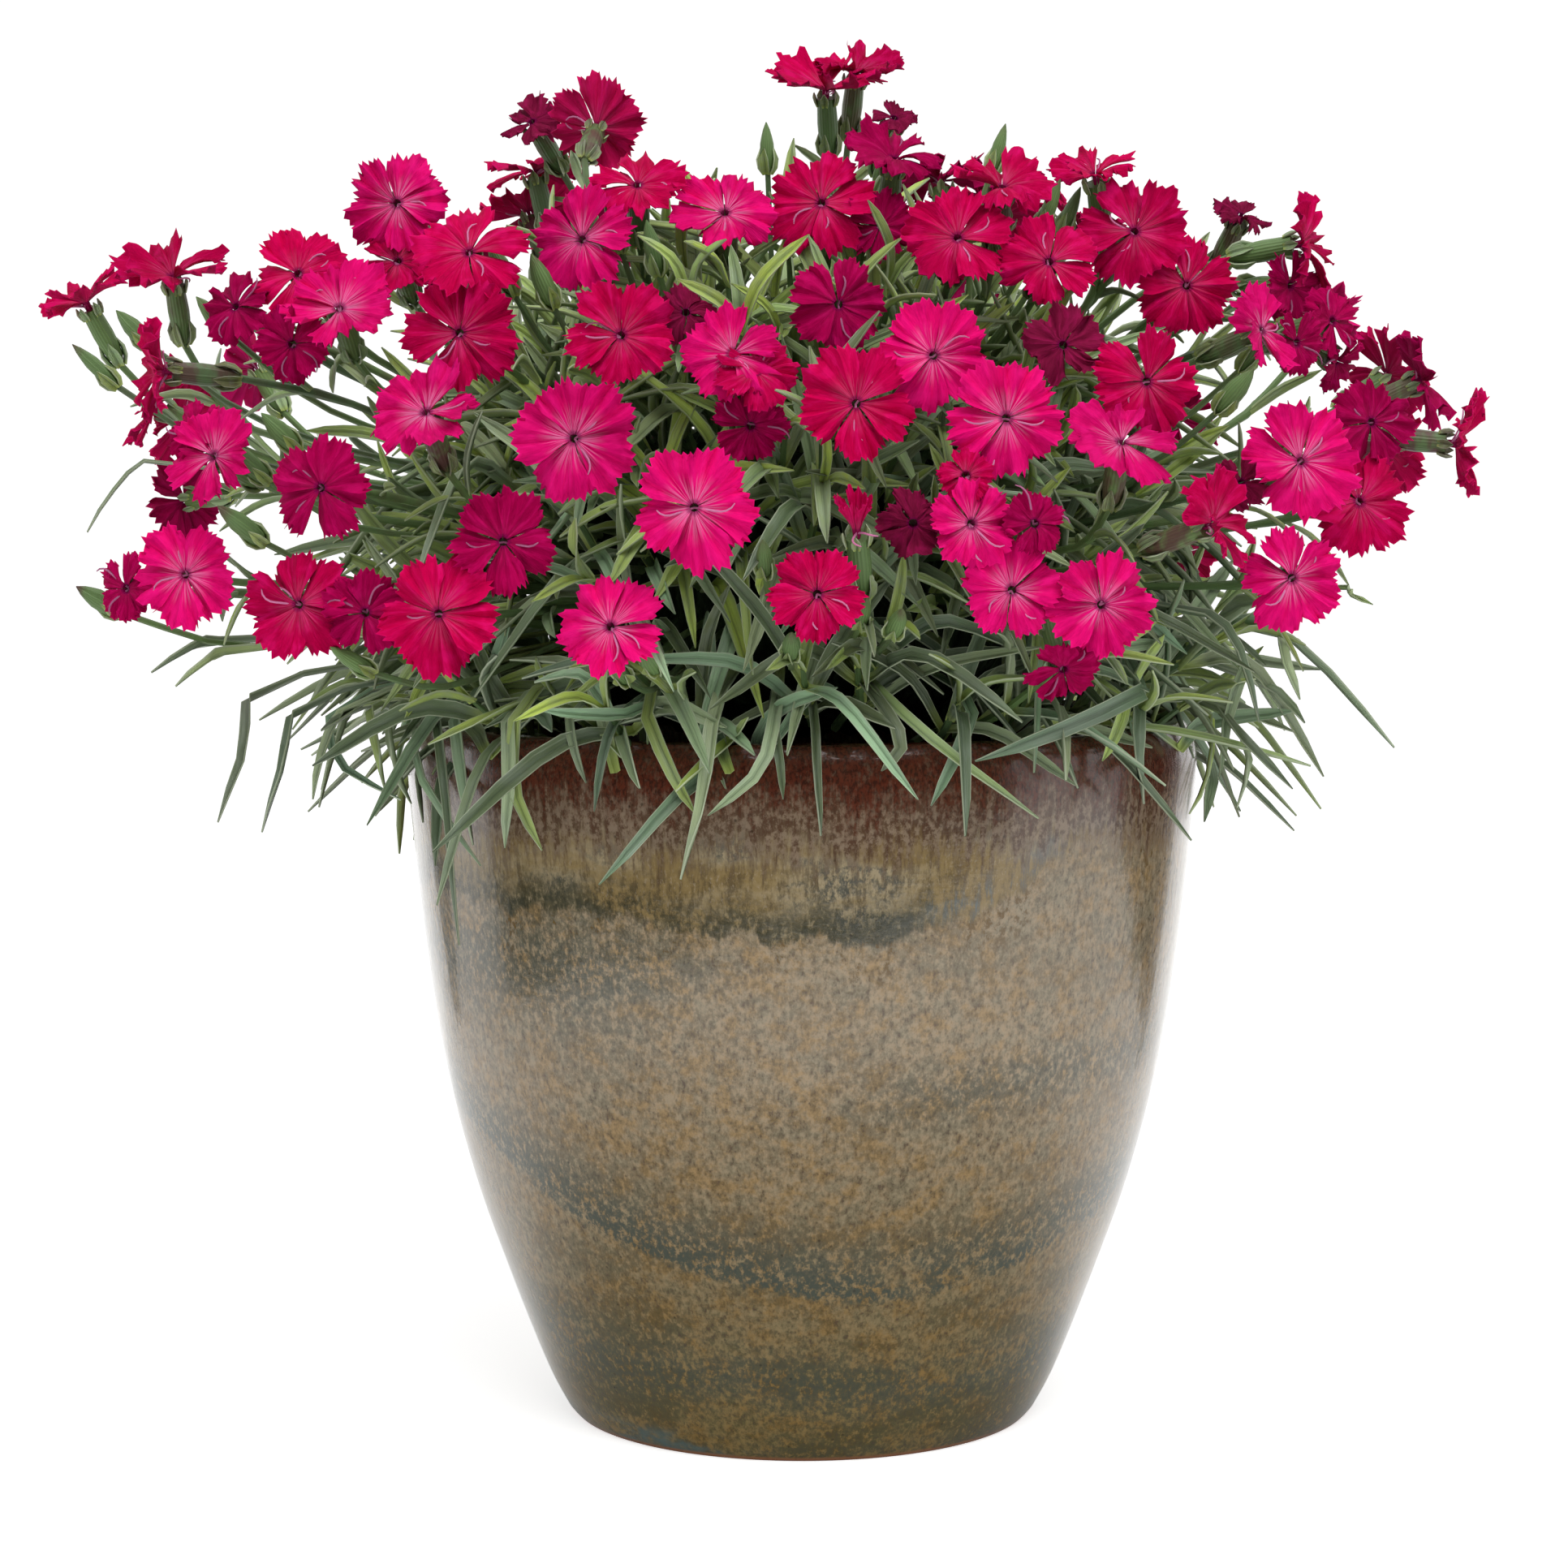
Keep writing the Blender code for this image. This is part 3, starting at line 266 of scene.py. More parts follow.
# half the angle that a petal fills, at shares of its length
PETAL_ANGLES = [(-1.0, 20.0), (0.0, 34.0), (0.2, 37.0), (0.45, 40.0), (0.75, 42.0), (1.0, 40.0)]
# radius of the ring where the claws open out into the blades
MOUTH = 1.0

# half profiles as shares of the length and of the width, or as radii
LEAF_WIDTHS = [
    (0.0, 0.62), (0.08, 0.66), (0.3, 0.95), (0.55, 1.0), (0.8, 0.8), (0.93, 0.5), (1.0, 0.07),
]
LEAF_ROWS = 7
LEAF_CHANNEL = 0.32
CALYX_RADII = [(0.0, 0.9), (0.15, 2.1), (0.5, 2.8), (0.85, 2.55), (1.0, 2.6)]
STYLE_RADII = [(0.0, 0.28), (0.5, 0.24), (0.9, 0.21), (1.0, 0.12)]
GOLDEN_TURN = 2.39996
TUBE_SIDES = 6


def profile(table, shares):
    """Values of a table of (share, value) at shares between them."""
    return np.interp(shares, *zip(*table))


def ray(u, v):
    """The direction through a photo pixel, scaled to one unit of depth."""
    forward = Vector((0, math.cos(PITCH), -math.sin(PITCH)))
    upward = Vector((0, math.sin(PITCH), math.cos(PITCH)))
    return forward + Vector((1, 0, 0)) * ((u - MIDDLE) / FOCAL) + upward * ((MIDDLE - v) / FOCAL)


def near_root(a, b, c):
    return (-b - math.sqrt(max(b * b - a * c, 0.0))) / a


def on_dome(u, v, push):
    """The point of the flower dome seen at a pixel, pushed away from the camera, and its depth."""
    line = ray(u, v)
    start = Vector([(CAMERA[k] - DOME[k]) / DOME_RADII[k] for k in range(3)])
    run = Vector([line[k] / DOME_RADII[k] for k in range(3)])
    depth = near_root(run.dot(run), start.dot(run), start.dot(start) - 1.0)
    height = (CAMERA.z + line.z * depth - DOME.z) / DOME_RADII.z
    depth += push + CROWN_PUSH * max(height, 0.0) ** 1.5
    return CAMERA + line * depth, depth


def on_cylinder(u, v, radius):
    """The near point of an upright cylinder about the pot's axis seen at a pixel."""
    line = ray(u, v)
    b = CAMERA.x * line.x + CAMERA.y * line.y
    c = CAMERA.x**2 + CAMERA.y**2 - radius**2
    return CAMERA + line * near_root(line.x**2 + line.y**2, b, c)


def facing(turn, tilt):
    """The way a bloom faces, turned from the camera's side and tilted up by degrees."""
    turn, tilt = math.radians(turn), math.radians(tilt)
    flat = math.cos(tilt)
    return Vector((math.sin(turn) * flat, -math.cos(turn) * flat, math.sin(tilt)))


def heading(azimuth, rise=0.0):
    """The way at an azimuth and a rise, in radians."""
    flat = math.cos(rise)
    return Vector((math.cos(azimuth) * flat, math.sin(azimuth) * flat, math.sin(rise)))


def core_point(direction, share):
    """A point under the core's skin in a direction from its middle."""
    way = direction.normalized()
    depth, power = (CORE_UP, 2.0) if way.z > 0 else (CORE_DOWN, CORE_FULLNESS)
    flat, rise = math.hypot(way.x, way.y) / CORE_ACROSS, abs(way.z) / depth
    return CORE + way * (share / (flat**power + rise**power) ** (1.0 / power))


def across(direction):
    """Two unit vectors square to a direction and to one another."""
    helper = UP if abs(direction.z) < 0.9 else Vector((0, 1, 0))
    side = direction.cross(helper).normalized()
    return side, side.cross(direction).normalized()


def spoke(axes, angle):
    """The unit vector at an angle between two axes."""
    return axes[0] * math.cos(angle) + axes[1] * math.sin(angle)


def circle(centre, radius, sides, axes):
    turns = [math.tau * step / sides for step in range(sides)]
    side, up = axes
    return [centre + side * (radius * math.cos(t)) + up * (radius * math.sin(t)) for t in turns]


def headings(path):
    """The direction of a path at each of its points."""
    ends = [path[0], *path, path[-1]]
    return [(after - before).normalized() for before, after in zip(ends, ends[2:])]


def skin_tree(rings):
    """A search tree of the skin over rings of equal count, closed at both ends."""
    count = len(rings[0])
    last = (len(rings) - 1) * count
    faces = [tuple(reversed(range(count))), tuple(range(last, last + count))]
    for low in range(last):
        follow = low + 1 if (low + 1) % count else low + 1 - count
        faces.append((low, follow, follow + count, low + count))
    return BVHTree.FromPolygons([point for ring in rings for point in ring], faces)


class Bloom:
    """One bloom: where its throat is, how it faces, how big it is and how its petals lie."""

    def __init__(self, bunch, centre, face, radius, kind, seed):
        self.bunch, self.centre, self.radius, self.kind = bunch, centre, radius, kind
        self.face = face.normalized()
        seen = not bunch.startswith("back")
        self.toothed = radius > 13.6 and kind in ("red", "pink") and seen
        draw = random.Random(seed)
        self.spin = draw.uniform(0, math.tau)
        self.jitter = [draw.uniform(-1, 1) for _ in range(64)]
        self.hand = 1.0 if seed % 2 else -1.0
        self.aside = 1.0 if self.face.y > -0.5 and seen else 0.0

    def outer_points(self):
        """The rim of the corolla as (angle, share of the radius, height)."""
        step = math.tau / PETALS
        points = []
        for petal in range(PETALS):
            base = self.spin + petal * step
            wobble = self.jitter[petal * 4 : petal * 4 + 4]
            points.append((base - 0.5 * step, 0.80, -0.2 + 0.4 * wobble[0]))
            points.append((base - 0.28 * step, 0.99 + 0.02 * wobble[1], 0.9))
            if self.toothed:
                points.append((base, 0.91, 0.0))
            points.append((base + 0.24 * step, 1.0 + 0.02 * wobble[3], -0.8))
        return points

    def tree(self, grow):
        """A search tree of the corolla's solid, thickened by grow."""
        axes = across(self.face)
        cup = CUP.get(self.kind, 0.10) * self.radius
        spread = SPREAD.get(self.kind, 1.0)
        crumple = 2.4 if self.kind == "faded" else 0.7
        outer = []
        for (angle, share, lift), jitter in zip(self.outer_points(), self.jitter[24:]):
            rho = self.radius * share * spread + grow
            outer.append((angle, rho, cup + (lift + crumple * jitter) + grow))
        turns = [self.spin + k * (math.tau / PETALS) for k in range(PETALS)]
        inner = [(turn, 0.3 * self.radius, 0.6 + grow) for turn in turns]
        spots, thick = [], PETAL_SOLID + 2 * grow
        for ring in (outer, inner):
            spots += ring + [(angle, rho, height - thick) for angle, rho, height in ring]
        spots += [(turn, CLAW_RADIUS + grow, -CLAW_DEPTH - grow) for turn in turns]
        spots.append((0.0, 0.0, -0.9))
        verts = [self.centre + spoke(axes, a) * rho + self.face * height for a, rho, height in spots]

        count = len(outer)
        top, under, claw = 2 * count, 2 * count + PETALS, 2 * count + 2 * PETALS
        middle = claw + PETALS
        faces = [tuple(range(claw, middle))]
        for low in range(count):
            high, petal = (low + 1) % count, low * PETALS // count
            faces.append((low, count + low, count + high, high))
            faces.append((top + petal, low, high))
            faces.append((under + petal, count + high, count + low))
        for petal in range(PETALS):
            follow = (petal + 1) % PETALS
            seam = follow * count // PETALS
            faces.append((top + petal, seam, top + follow))
            faces.append((under + petal, under + follow, count + seam))
            faces.append((middle, top + petal, top + follow))
            faces.append((under + petal, claw + petal, claw + follow, under + follow))
        return BVHTree.FromPolygons(verts, faces)

    def calyx_ends(self):
        top = self.centre - self.face * (CLAW_DEPTH + GAP)
        return top, top - self.face * CALYX_LENGTH

    def calyx_tree(self):
        top, foot = self.calyx_ends()
        axes = across(self.face)
        ends = ((foot, 1.5), (top, CALYX_RADIUS))
        return skin_tree([circle(end, radius + CLEAR, 4, axes) for end, radius in ends])

    def grow_trees(self):
        """The search trees that later blooms and leaves are tested against."""
        self.petals, self.thin, self.calyx = self.tree(CLEAR), self.tree(BITE), self.calyx_tree()
        return self


def is_free(bloom, placed):
    """No petals or calyx of a bloom near those of other bunches."""
    petals, calyx = bloom.tree(CLEAR), bloom.calyx_tree()
    for other in placed:
        reach = bloom.radius + other.radius + CALYX_LENGTH + 6.0
        if (bloom.centre - other.centre).length > reach:
            continue
        if other.calyx.overlap(petals) or other.petals.overlap(calyx):
            return False
        if other.bunch != bloom.bunch and other.petals.overlap(petals):
            return False
    return True


def is_joined(bloom, mates):
    """Petals that really run into those of the bunch, or the first bloom of a bunch."""
    if not mates:
        return True
    petals = bloom.tree(BITE)
    return any(len(mate.thin.overlap(petals)) > 2 for mate in mates)


def settle(bloom, placed, line):
    """Move a bloom along its line of sight, and towards its bunch, until it stands well."""
    home = bloom.centre.copy()
    mates = [other for other in placed if other.bunch == bloom.bunch]
    aim = (mates[0].centre - home) if mates else Vector((0, 0, 0))
    aim = (aim - line * aim.dot(line)).normalized()
    for near in NEARER if mates else NEARER[:1]:
        for depth in DEPTHS:
            bloom.centre = home + aim * near + line * depth
            if is_joined(bloom, mates) and is_free(bloom, placed):
                return True
    return False


@functools.lru_cache(maxsize=1)
def place_blooms():
    """Every bloom in its place, those of the photograph first."""
    order = []
    for bunch, rows in BLOOMS.items():
        first = None
        for u, v, size, turn, tilt, push, kind in rows:
            depth = on_dome(u, v, push)[1] if first is None else first + push
            first = first or depth
            centre, radius = CAMERA + ray(u, v) * depth, size * depth / FOCAL
            bloom = Bloom(bunch, centre, facing(turn, tilt), radius, kind, SEED + len(order))
            order.append((bloom, ray(u, v).normalized()))
    for index, (letter, place) in enumerate(BACK_BUNCHES.items()):
        way = heading(*map(math.radians, place))
        middle = DOME + Vector([way[k] * DOME_RADII[k] for k in range(3)])
        for step, kind in enumerate(BACK_KINDS):
            reach = spoke(across(way), math.tau * step / 3 + index) * (1.0 if step else 0.0)
            face = way + reach * 0.55 + UP * 0.2
            centre, seed = middle + reach * BACK_SPREAD, BACK_SEED + len(BACK_KINDS) * index + step
            order.append((Bloom("back_" + letter, centre, face, BACK_RADIUS, kind, seed), -way))
    placed = []
    for bloom, line in order:
        if settle(bloom, placed, line):
            placed.append(bloom.grow_trees())
    return placed


def stalk_path(foot, face, root):
    """A stem that leaves a calyx straight and bends down into the core."""
    run = (foot - root).length
    near = root + (root - CORE).normalized() * (0.35 * run)
    high = foot - face * (0.35 * run)
    points = []
    for t in (0.0, 0.25, 0.5, 0.75, 1.0):
        u = 1.0 - t
        points.append(root * u**3 + near * (3 * u * u * t) + high * (3 * u * t * t) + foot * t**3)
    return points


def smooth_path(points, count):
    """Even samples of a curve through points."""
    spans = len(points) - 1
    padded = [points[0] * 2 - points[1], *points, points[-1] * 2 - points[-2]]
    samples = []
    for step in range(count):
        place = spans * step / (count - 1)
        span = min(int(place), spans - 1)
        t = place - span
        p0, p1, p2, p3 = padded[span : span + 4]
        value = p1 * 2 + (p2 - p0) * t + (p0 * 2 - p1 * 5 + p2 * 4 - p3) * t**2
        samples.append((value + (p1 * 3 - p0 - p2 * 3 + p3) * t**3) * 0.5)
    return samples


def crosses(path, radius, trees):
    """Whether a rod along a path runs into any of the trees."""
    rings = [circle(spot, radius, 3, across(way)) for spot, way in zip(path, headings(path))]
    own = skin_tree(rings)
    return any(own.overlap(tree) for tree in trees)


def way_down(bloom, trees):
    """The first clear stem path from a calyx down into the core."""
    foot = bloom.calyx_ends()[1]
    home = foot - CORE
    for swing in SWINGS:
        for lift in LIFTS:
            cos, sin = math.cos(swing), math.sin(swing)
            turned = Vector((home.x * cos - home.y * sin, home.x * sin + home.y * cos, home.z + lift))
            path = stalk_path(foot, bloom.face, core_point(turned, ROOT_SHARE))
            if not crosses(path, STEM_RADIUS + CLEAR, trees):
                return path
    return stalk_path(foot, bloom.face, core_point(home, ROOT_SHARE))


def bud_place(u, v, trees):
    """Middle, direction and stem path of a bud that stands clear of the petals."""
    for push in BUD_PUSHES:
        middle = on_dome(u, v, push)[0]
        way = ((middle - CORE).normalized() + UP * 0.6).normalized()
        foot = middle - way * 6.0
        path = stalk_path(foot, way, core_point(foot - CORE, ROOT_SHARE))
        if not crosses([*path, middle + way * 7.0], 2.0, trees):
            return middle, way, path
    return None


def clear_of_pot(point, margin):
    """A point moved over the rim or out of the wall, where it is inside the pot's clay."""
    flat = math.hypot(point.x, point.y)
    wall = profile(POT_OUTER, point.z) + margin
    if point.z > RIM_TOP + margin or flat > wall or flat < INNER_WALL:
        return point
    if point.z > RIM_TOP - 5.0:
        return Vector((point.x, point.y, RIM_TOP + margin))
    share = wall / flat
    return Vector((point.x * share, point.y * share, point.z))


def deselect():
    if bpy.context.mode != "OBJECT":
        bpy.ops.object.mode_set(mode="OBJECT")
    bpy.ops.object.select_all(action="DESELECT")


def edit_all():
    """Edit mode with every face selected."""
    bpy.ops.object.mode_set(mode="EDIT")
    bpy.ops.mesh.select_mode(type="FACE")
    bpy.ops.mesh.select_all(action="SELECT")


def face_outwards():
    """Turn every face outwards and leave edit mode."""
    bpy.ops.mesh.select_all(action="SELECT")
    bpy.ops.mesh.normals_make_consistent(inside=False)
    bpy.ops.object.mode_set(mode="OBJECT")


class Blank:
    """A small closed mesh whose points know where they lie on it, to be copied and bent."""

    def __init__(self, rows):
        face_outwards()
        item = bpy.context.active_object
        self.rows = rows
        points = np.empty(len(item.data.vertices) * 3)
        item.data.vertices.foreach_get("co", points)
        self.points = points.reshape(-1, 3)
        # operators may list the faces in another order each run, so they are put in one order
        faces = [tuple(face.vertices) for face in item.data.polygons]
        starts = [face.index(min(face)) for face in faces]
        self.faces = sorted(face[start:] + face[:start] for face, start in zip(faces, starts))
        bpy.data.objects.remove(item, do_unlink=True)


def sheet_blank(columns, rows):
    """A closed sheet: x runs across it from -1 to 1, y along it from 0 to 1, z is 1 on top."""
    deselect()
    bpy.ops.mesh.primitive_grid_add(x_subdivisions=columns, y_subdivisions=rows, size=2.0)
    edit_all()
    bpy.ops.mesh.extrude_region_move(TRANSFORM_OT_translate={"value": (0, 0, 1)})
    blank = Blank(rows)
    blank.points[:, 1] = blank.points[:, 1] * 0.5 + 0.5
    return blank


def tube_blank(sides, rows):
    """A closed tube of radius 1 whose z runs from 0 to 1 in even rows."""
    deselect()
    bpy.ops.mesh.primitive_circle_add(vertices=sides, radius=1.0, fill_type="NGON")
    edit_all()
    for _ in range(rows):
        bpy.ops.mesh.extrude_region_move(TRANSFORM_OT_translate={"value": (0, 0, 1.0 / rows)})
    return Blank(rows)


class Heap:
    """Bent copies of blanks, gathered into one mesh with a UV map and marks on its points."""

    def __init__(self, *marks):
        self.points, self.uvs, self.faces = [], [], []
        self.marks = {name: [] for name in marks}
        self.count = 0

    def add(self, blank, points, uvs, **marks):
        self.points.append(points)
        self.uvs.append(uvs)
        self.faces += [tuple(corner + self.count for corner in face) for face in blank.faces]
        for name, rows in self.marks.items():
            value = np.asarray(marks.get(name, 0.0), dtype=float)
            rows.append(np.broadcast_to(value, (len(points), 3) if value.shape == (3,) else len(points)))
        self.count += len(points)

    def tube(self, blank, path, radii, **marks):
        self.add(blank, *bend_tube(blank, path, radii), **marks)

    def leaf(self, blank, path, width, thick, twist=0.0, outward=None, **marks):
        self.add(blank, *bend_leaf(blank, path, width, thick, twist, outward), **marks)

    def build(self, name, material, crease=60.0):
        mesh = bpy.data.meshes.new(name)
        mesh.from_pydata((np.concatenate(self.points) * MM).tolist(), [], self.faces)
        corners = np.empty(len(mesh.loops), dtype=int)
        mesh.loops.foreach_get("vertex_index", corners)
        layer = mesh.uv_layers.new(name="UVMap")
        layer.data.foreach_set("uv", np.concatenate(self.uvs)[corners].ravel())
        for mark, rows in self.marks.items():
            values = np.concatenate(rows)
            if values.ndim == 2:
                values = np.hstack([values, np.ones((len(values), 1))])
                layer = mesh.attributes.new(mark, "FLOAT_COLOR", "POINT")
                layer.data.foreach_set("color", values.ravel())
            else:
                mesh.attributes.new(mark, "FLOAT", "POINT").data.foreach_set("value", values)
        item = bpy.data.objects.new(name, mesh)
        bpy.context.scene.collection.objects.link(item)
        mesh.materials.append(material)
        deselect()
        item.select_set(True)
        bpy.context.view_layer.objects.active = item
        edit_all()
        face_outwards()
        bpy.ops.object.shade_smooth_by_angle(angle=math.radians(crease))
        return item


def rows_of(vectors):
    return np.array([tuple(vector) for vector in vectors])


def bend_tube(blank, path, radii):
    """A tube blank bent along a path of points, with a radius at each of them."""
    sides, ups = [], []
    side = across(headings(path)[0])[0]
    for ahead in headings(path):
        side = (side - ahead * side.dot(ahead)).normalized()
        sides.append(side)
        ups.append(ahead.cross(side))
    x, y, z = blank.points.T
    row = np.rint(z * (len(path) - 1)).astype(int)
    flat = rows_of(sides)[row] * x[:, None] + rows_of(ups)[row] * y[:, None]
    points = rows_of(path)[row] + flat * np.asarray(radii)[row][:, None]
    return points, np.stack([np.arctan2(y, x) / math.tau + 0.5, z], axis=1)


def bend_leaf(blank, points, width, thick, twist, outward):
    """A leaf blank bent along a path: channelled along its middle, widest low down, pointed."""
    rows = blank.rows
    path = smooth_path(points, rows + 1)
    sides, faces = [], []
    for index, (spot, along) in enumerate(zip(path, headings(path))):
        side = along.cross(outward or Vector((spot.x, spot.y, 60.0)).normalized())
        side = side.normalized() if side.length > 0.05 else across(along)[0]
        face = side.cross(along)
        angle = twist * index / rows
        sides.append(spoke((side, face), angle))
        faces.append(face * math.cos(angle) - side * math.sin(angle))
    u, v, w = blank.points.T
    row = np.rint(v * rows).astype(int)
    half = 0.5 * width * profile(LEAF_WIDTHS, v)
    rise = half * LEAF_CHANNEL * 2.0 * u**2 - (1.0 - w) * thick
    place = rows_of(path)[row] + rows_of(sides)[row] * (u * half)[:, None]
    return place + rows_of(faces)[row] * rise[:, None], np.stack([u * 0.5 + 0.5, v], axis=1)


def bend_petal(bloom, petal, blank, thick):
    """One petal of a bloom: a toothed fan on a narrow claw, pleated and laid over its neighbour."""
    draw = random.Random(bloom.spin * 1000.0 + petal)

    def per_column(low, high):
        return np.array([draw.uniform(low, high) for _ in range(PETAL_COLUMNS + 1)])

    size = bloom.radius * SPREAD.get(bloom.kind, 1.0) * draw.uniform(0.93, 1.05)
    u, v, w = blank.points.T
    share = np.interp(v * (len(PETAL_ROWS) - 1), range(len(PETAL_ROWS)), PETAL_ROWS)
    blade = np.clip(share, 0.0, 1.0)
    rim = np.interp(share, [0.8, 1.0], [0.0, 1.0])
    column = np.rint((u + 1.0) * 0.5 * PETAL_COLUMNS).astype(int)
    wander = per_column(-0.4, 0.4)
    wander[[0, -1]] = 0.0
    u = u + wander[column] * rim * 2.0 / PETAL_COLUMNS

    # how far each point lies from the bloom's axis: a waved and toothed outline
    lobes, lobe_turn = draw.uniform(2.0, 3.4), draw.uniform(0, math.tau)
    teeth = [(0.0, 0.04) if k % 2 else (-0.03, -0.115) for k in range(PETAL_COLUMNS + 1)]
    cut = np.array([draw.uniform(*depths) for depths in teeth])
    outline = 1.0 - 0.10 * u**2 - 0.13 * u**4 + 0.045 * np.cos(lobes * math.pi * u + lobe_turn)
    reach = size * blade * (outline + np.where(share > 0.95, cut[column], 0.0))
    flat = np.where(share < 0.0, 0.8, MOUTH + reach * (1.0 - MOUTH / size))
    turn, wide = draw.uniform(-6.0, 6.0), draw.uniform(0.84, 1.04)
    fan = np.radians(profile(PETAL_ANGLES, share) * wide * u + turn * blade)
    angle = bloom.spin + math.tau * petal / PETALS + fan

    # how far it lies in front of the throat: cupped or drooping, lapped over, folded and rippled
    cup = CUP.get(bloom.kind, 0.10) + 0.09 * draw.uniform(-1, 1) + 0.22 * bloom.aside
    droop = draw.choice([-0.06, 0.04, 0.12, 0.24]) if bloom.kind != "half" else 0.0
    lean = 0.15 * bloom.hand + 0.07 * draw.uniform(-1, 1)
    fade = 1.0 - u**4
    folds, phase = draw.uniform(2.2, 3.2), draw.uniform(0, math.tau)
    height = cup * blade**0.8 - droop * blade**2.5 + lean * u * blade**0.8
    height += draw.uniform(0.06, 0.12) * np.cos(folds * math.pi * u + phase) * blade * fade
    height += 0.03 * np.sin(7.0 * math.pi * u + 2.0 * phase) * blade**1.5 * fade
    height = (height + per_column(-0.07, 0.07)[column] * rim) * bloom.radius
    height += np.where(share < 0.0, -CLAW_DEPTH - 0.6, 0.0) - (1.0 - w) * thick
    local = np.stack([np.cos(angle) * flat, np.sin(angle) * flat, height], axis=1)

    rough = CRUMPLED.get(bloom.kind, 0.045) * bloom.radius
    cell = 0.24 if bloom.kind == "faded" else 0.13
    offset = Vector((petal * 7.3, bloom.spin * 9.0, 0.0))
    for point, much in zip(local, blade):
        spot = Vector((point[0], point[1], 0.0)) * cell + offset
        point += np.array(noise.noise_vector(spot)) * (rough * much)
    points = local @ rows_of([*across(bloom.face), bloom.face]) + np.array(bloom.centre)
    return points, np.stack([u * 0.5 + 0.5, blade], axis=1), 1.0 - w


def style_path(bloom, number, length, steps=8):
    """A curled style that rises from the throat and hooks over at its end."""
    draw = random.Random(bloom.spin * 777.0 + number)
    out = spoke(across(bloom.face), bloom.spin + draw.choice([0.7, 1.5, 2.6]) * number)
    swing = out.cross(bloom.face) * draw.choice([-1.0, 1.0])
    rise, hook = draw.uniform(0.25, 0.5), draw.uniform(2.4, 4.4)
    path = [bloom.centre - bloom.face * 1.5]
    for step in range(steps):
        t = step / steps
        along = spoke((out, swing), hook * max(t - 0.45, 0.0) ** 1.3)
        lift = bloom.face * (rise * math.cos(2.6 * t) + 0.12)
        path.append(path[-1] + (along + lift) * (length / steps))
    return path


def scales(origin, way, turns, foot, rest):
    """Points of the small scales that ring a tube, as (out, ahead), and the way each one faces."""
    for turn in turns:
        flat = spoke(across(way), turn)
        base = origin + flat * foot[0] + way * foot[1]
        yield [base, *(base + flat * out + way * ahead for out, ahead in rest)], flat


def quarter_turns(first):
    return [number * math.tau / 4 + 0.4 for number in range(first, first + 4)]


def math_node(operation, swapped=False):
    """A method that adds a Math node to a wire and, where there is one, another value."""

    def method(self, *others):
        values = (*others, self) if swapped else (self, *others)
        return self.paint.node("ShaderNodeMath", {"operation": operation}, dict(enumerate(values)))

    return method


class Wire:
    """A number socket of a material, on which Python's operators add Math nodes."""

    def __init__(self, paint, socket):
        self.paint, self.socket = paint, socket

    __add__ = __radd__ = math_node("ADD")
    __sub__, __rsub__ = math_node("SUBTRACT"), math_node("SUBTRACT", swapped=True)
    __mul__ = __rmul__ = math_node("MULTIPLY")
    __pow__ = math_node("POWER")
    size, sine = math_node("ABSOLUTE"), math_node("SINE")

    def between(self, low, high):
        """A smooth step from 0 at low to 1 at high, which may run downwards."""
        if low > high:
            return 1.0 - self.between(high, low)
        values = {"Value": self, "From Min": low, "From Max": high}
        return self.paint.node("ShaderNodeMapRange", {"interpolation_type": "SMOOTHSTEP"}, values)

    def band(self, middle, half):
        """1 at a value and 0 farther from it than half."""
        return (self - middle).size().between(half, 0.0)


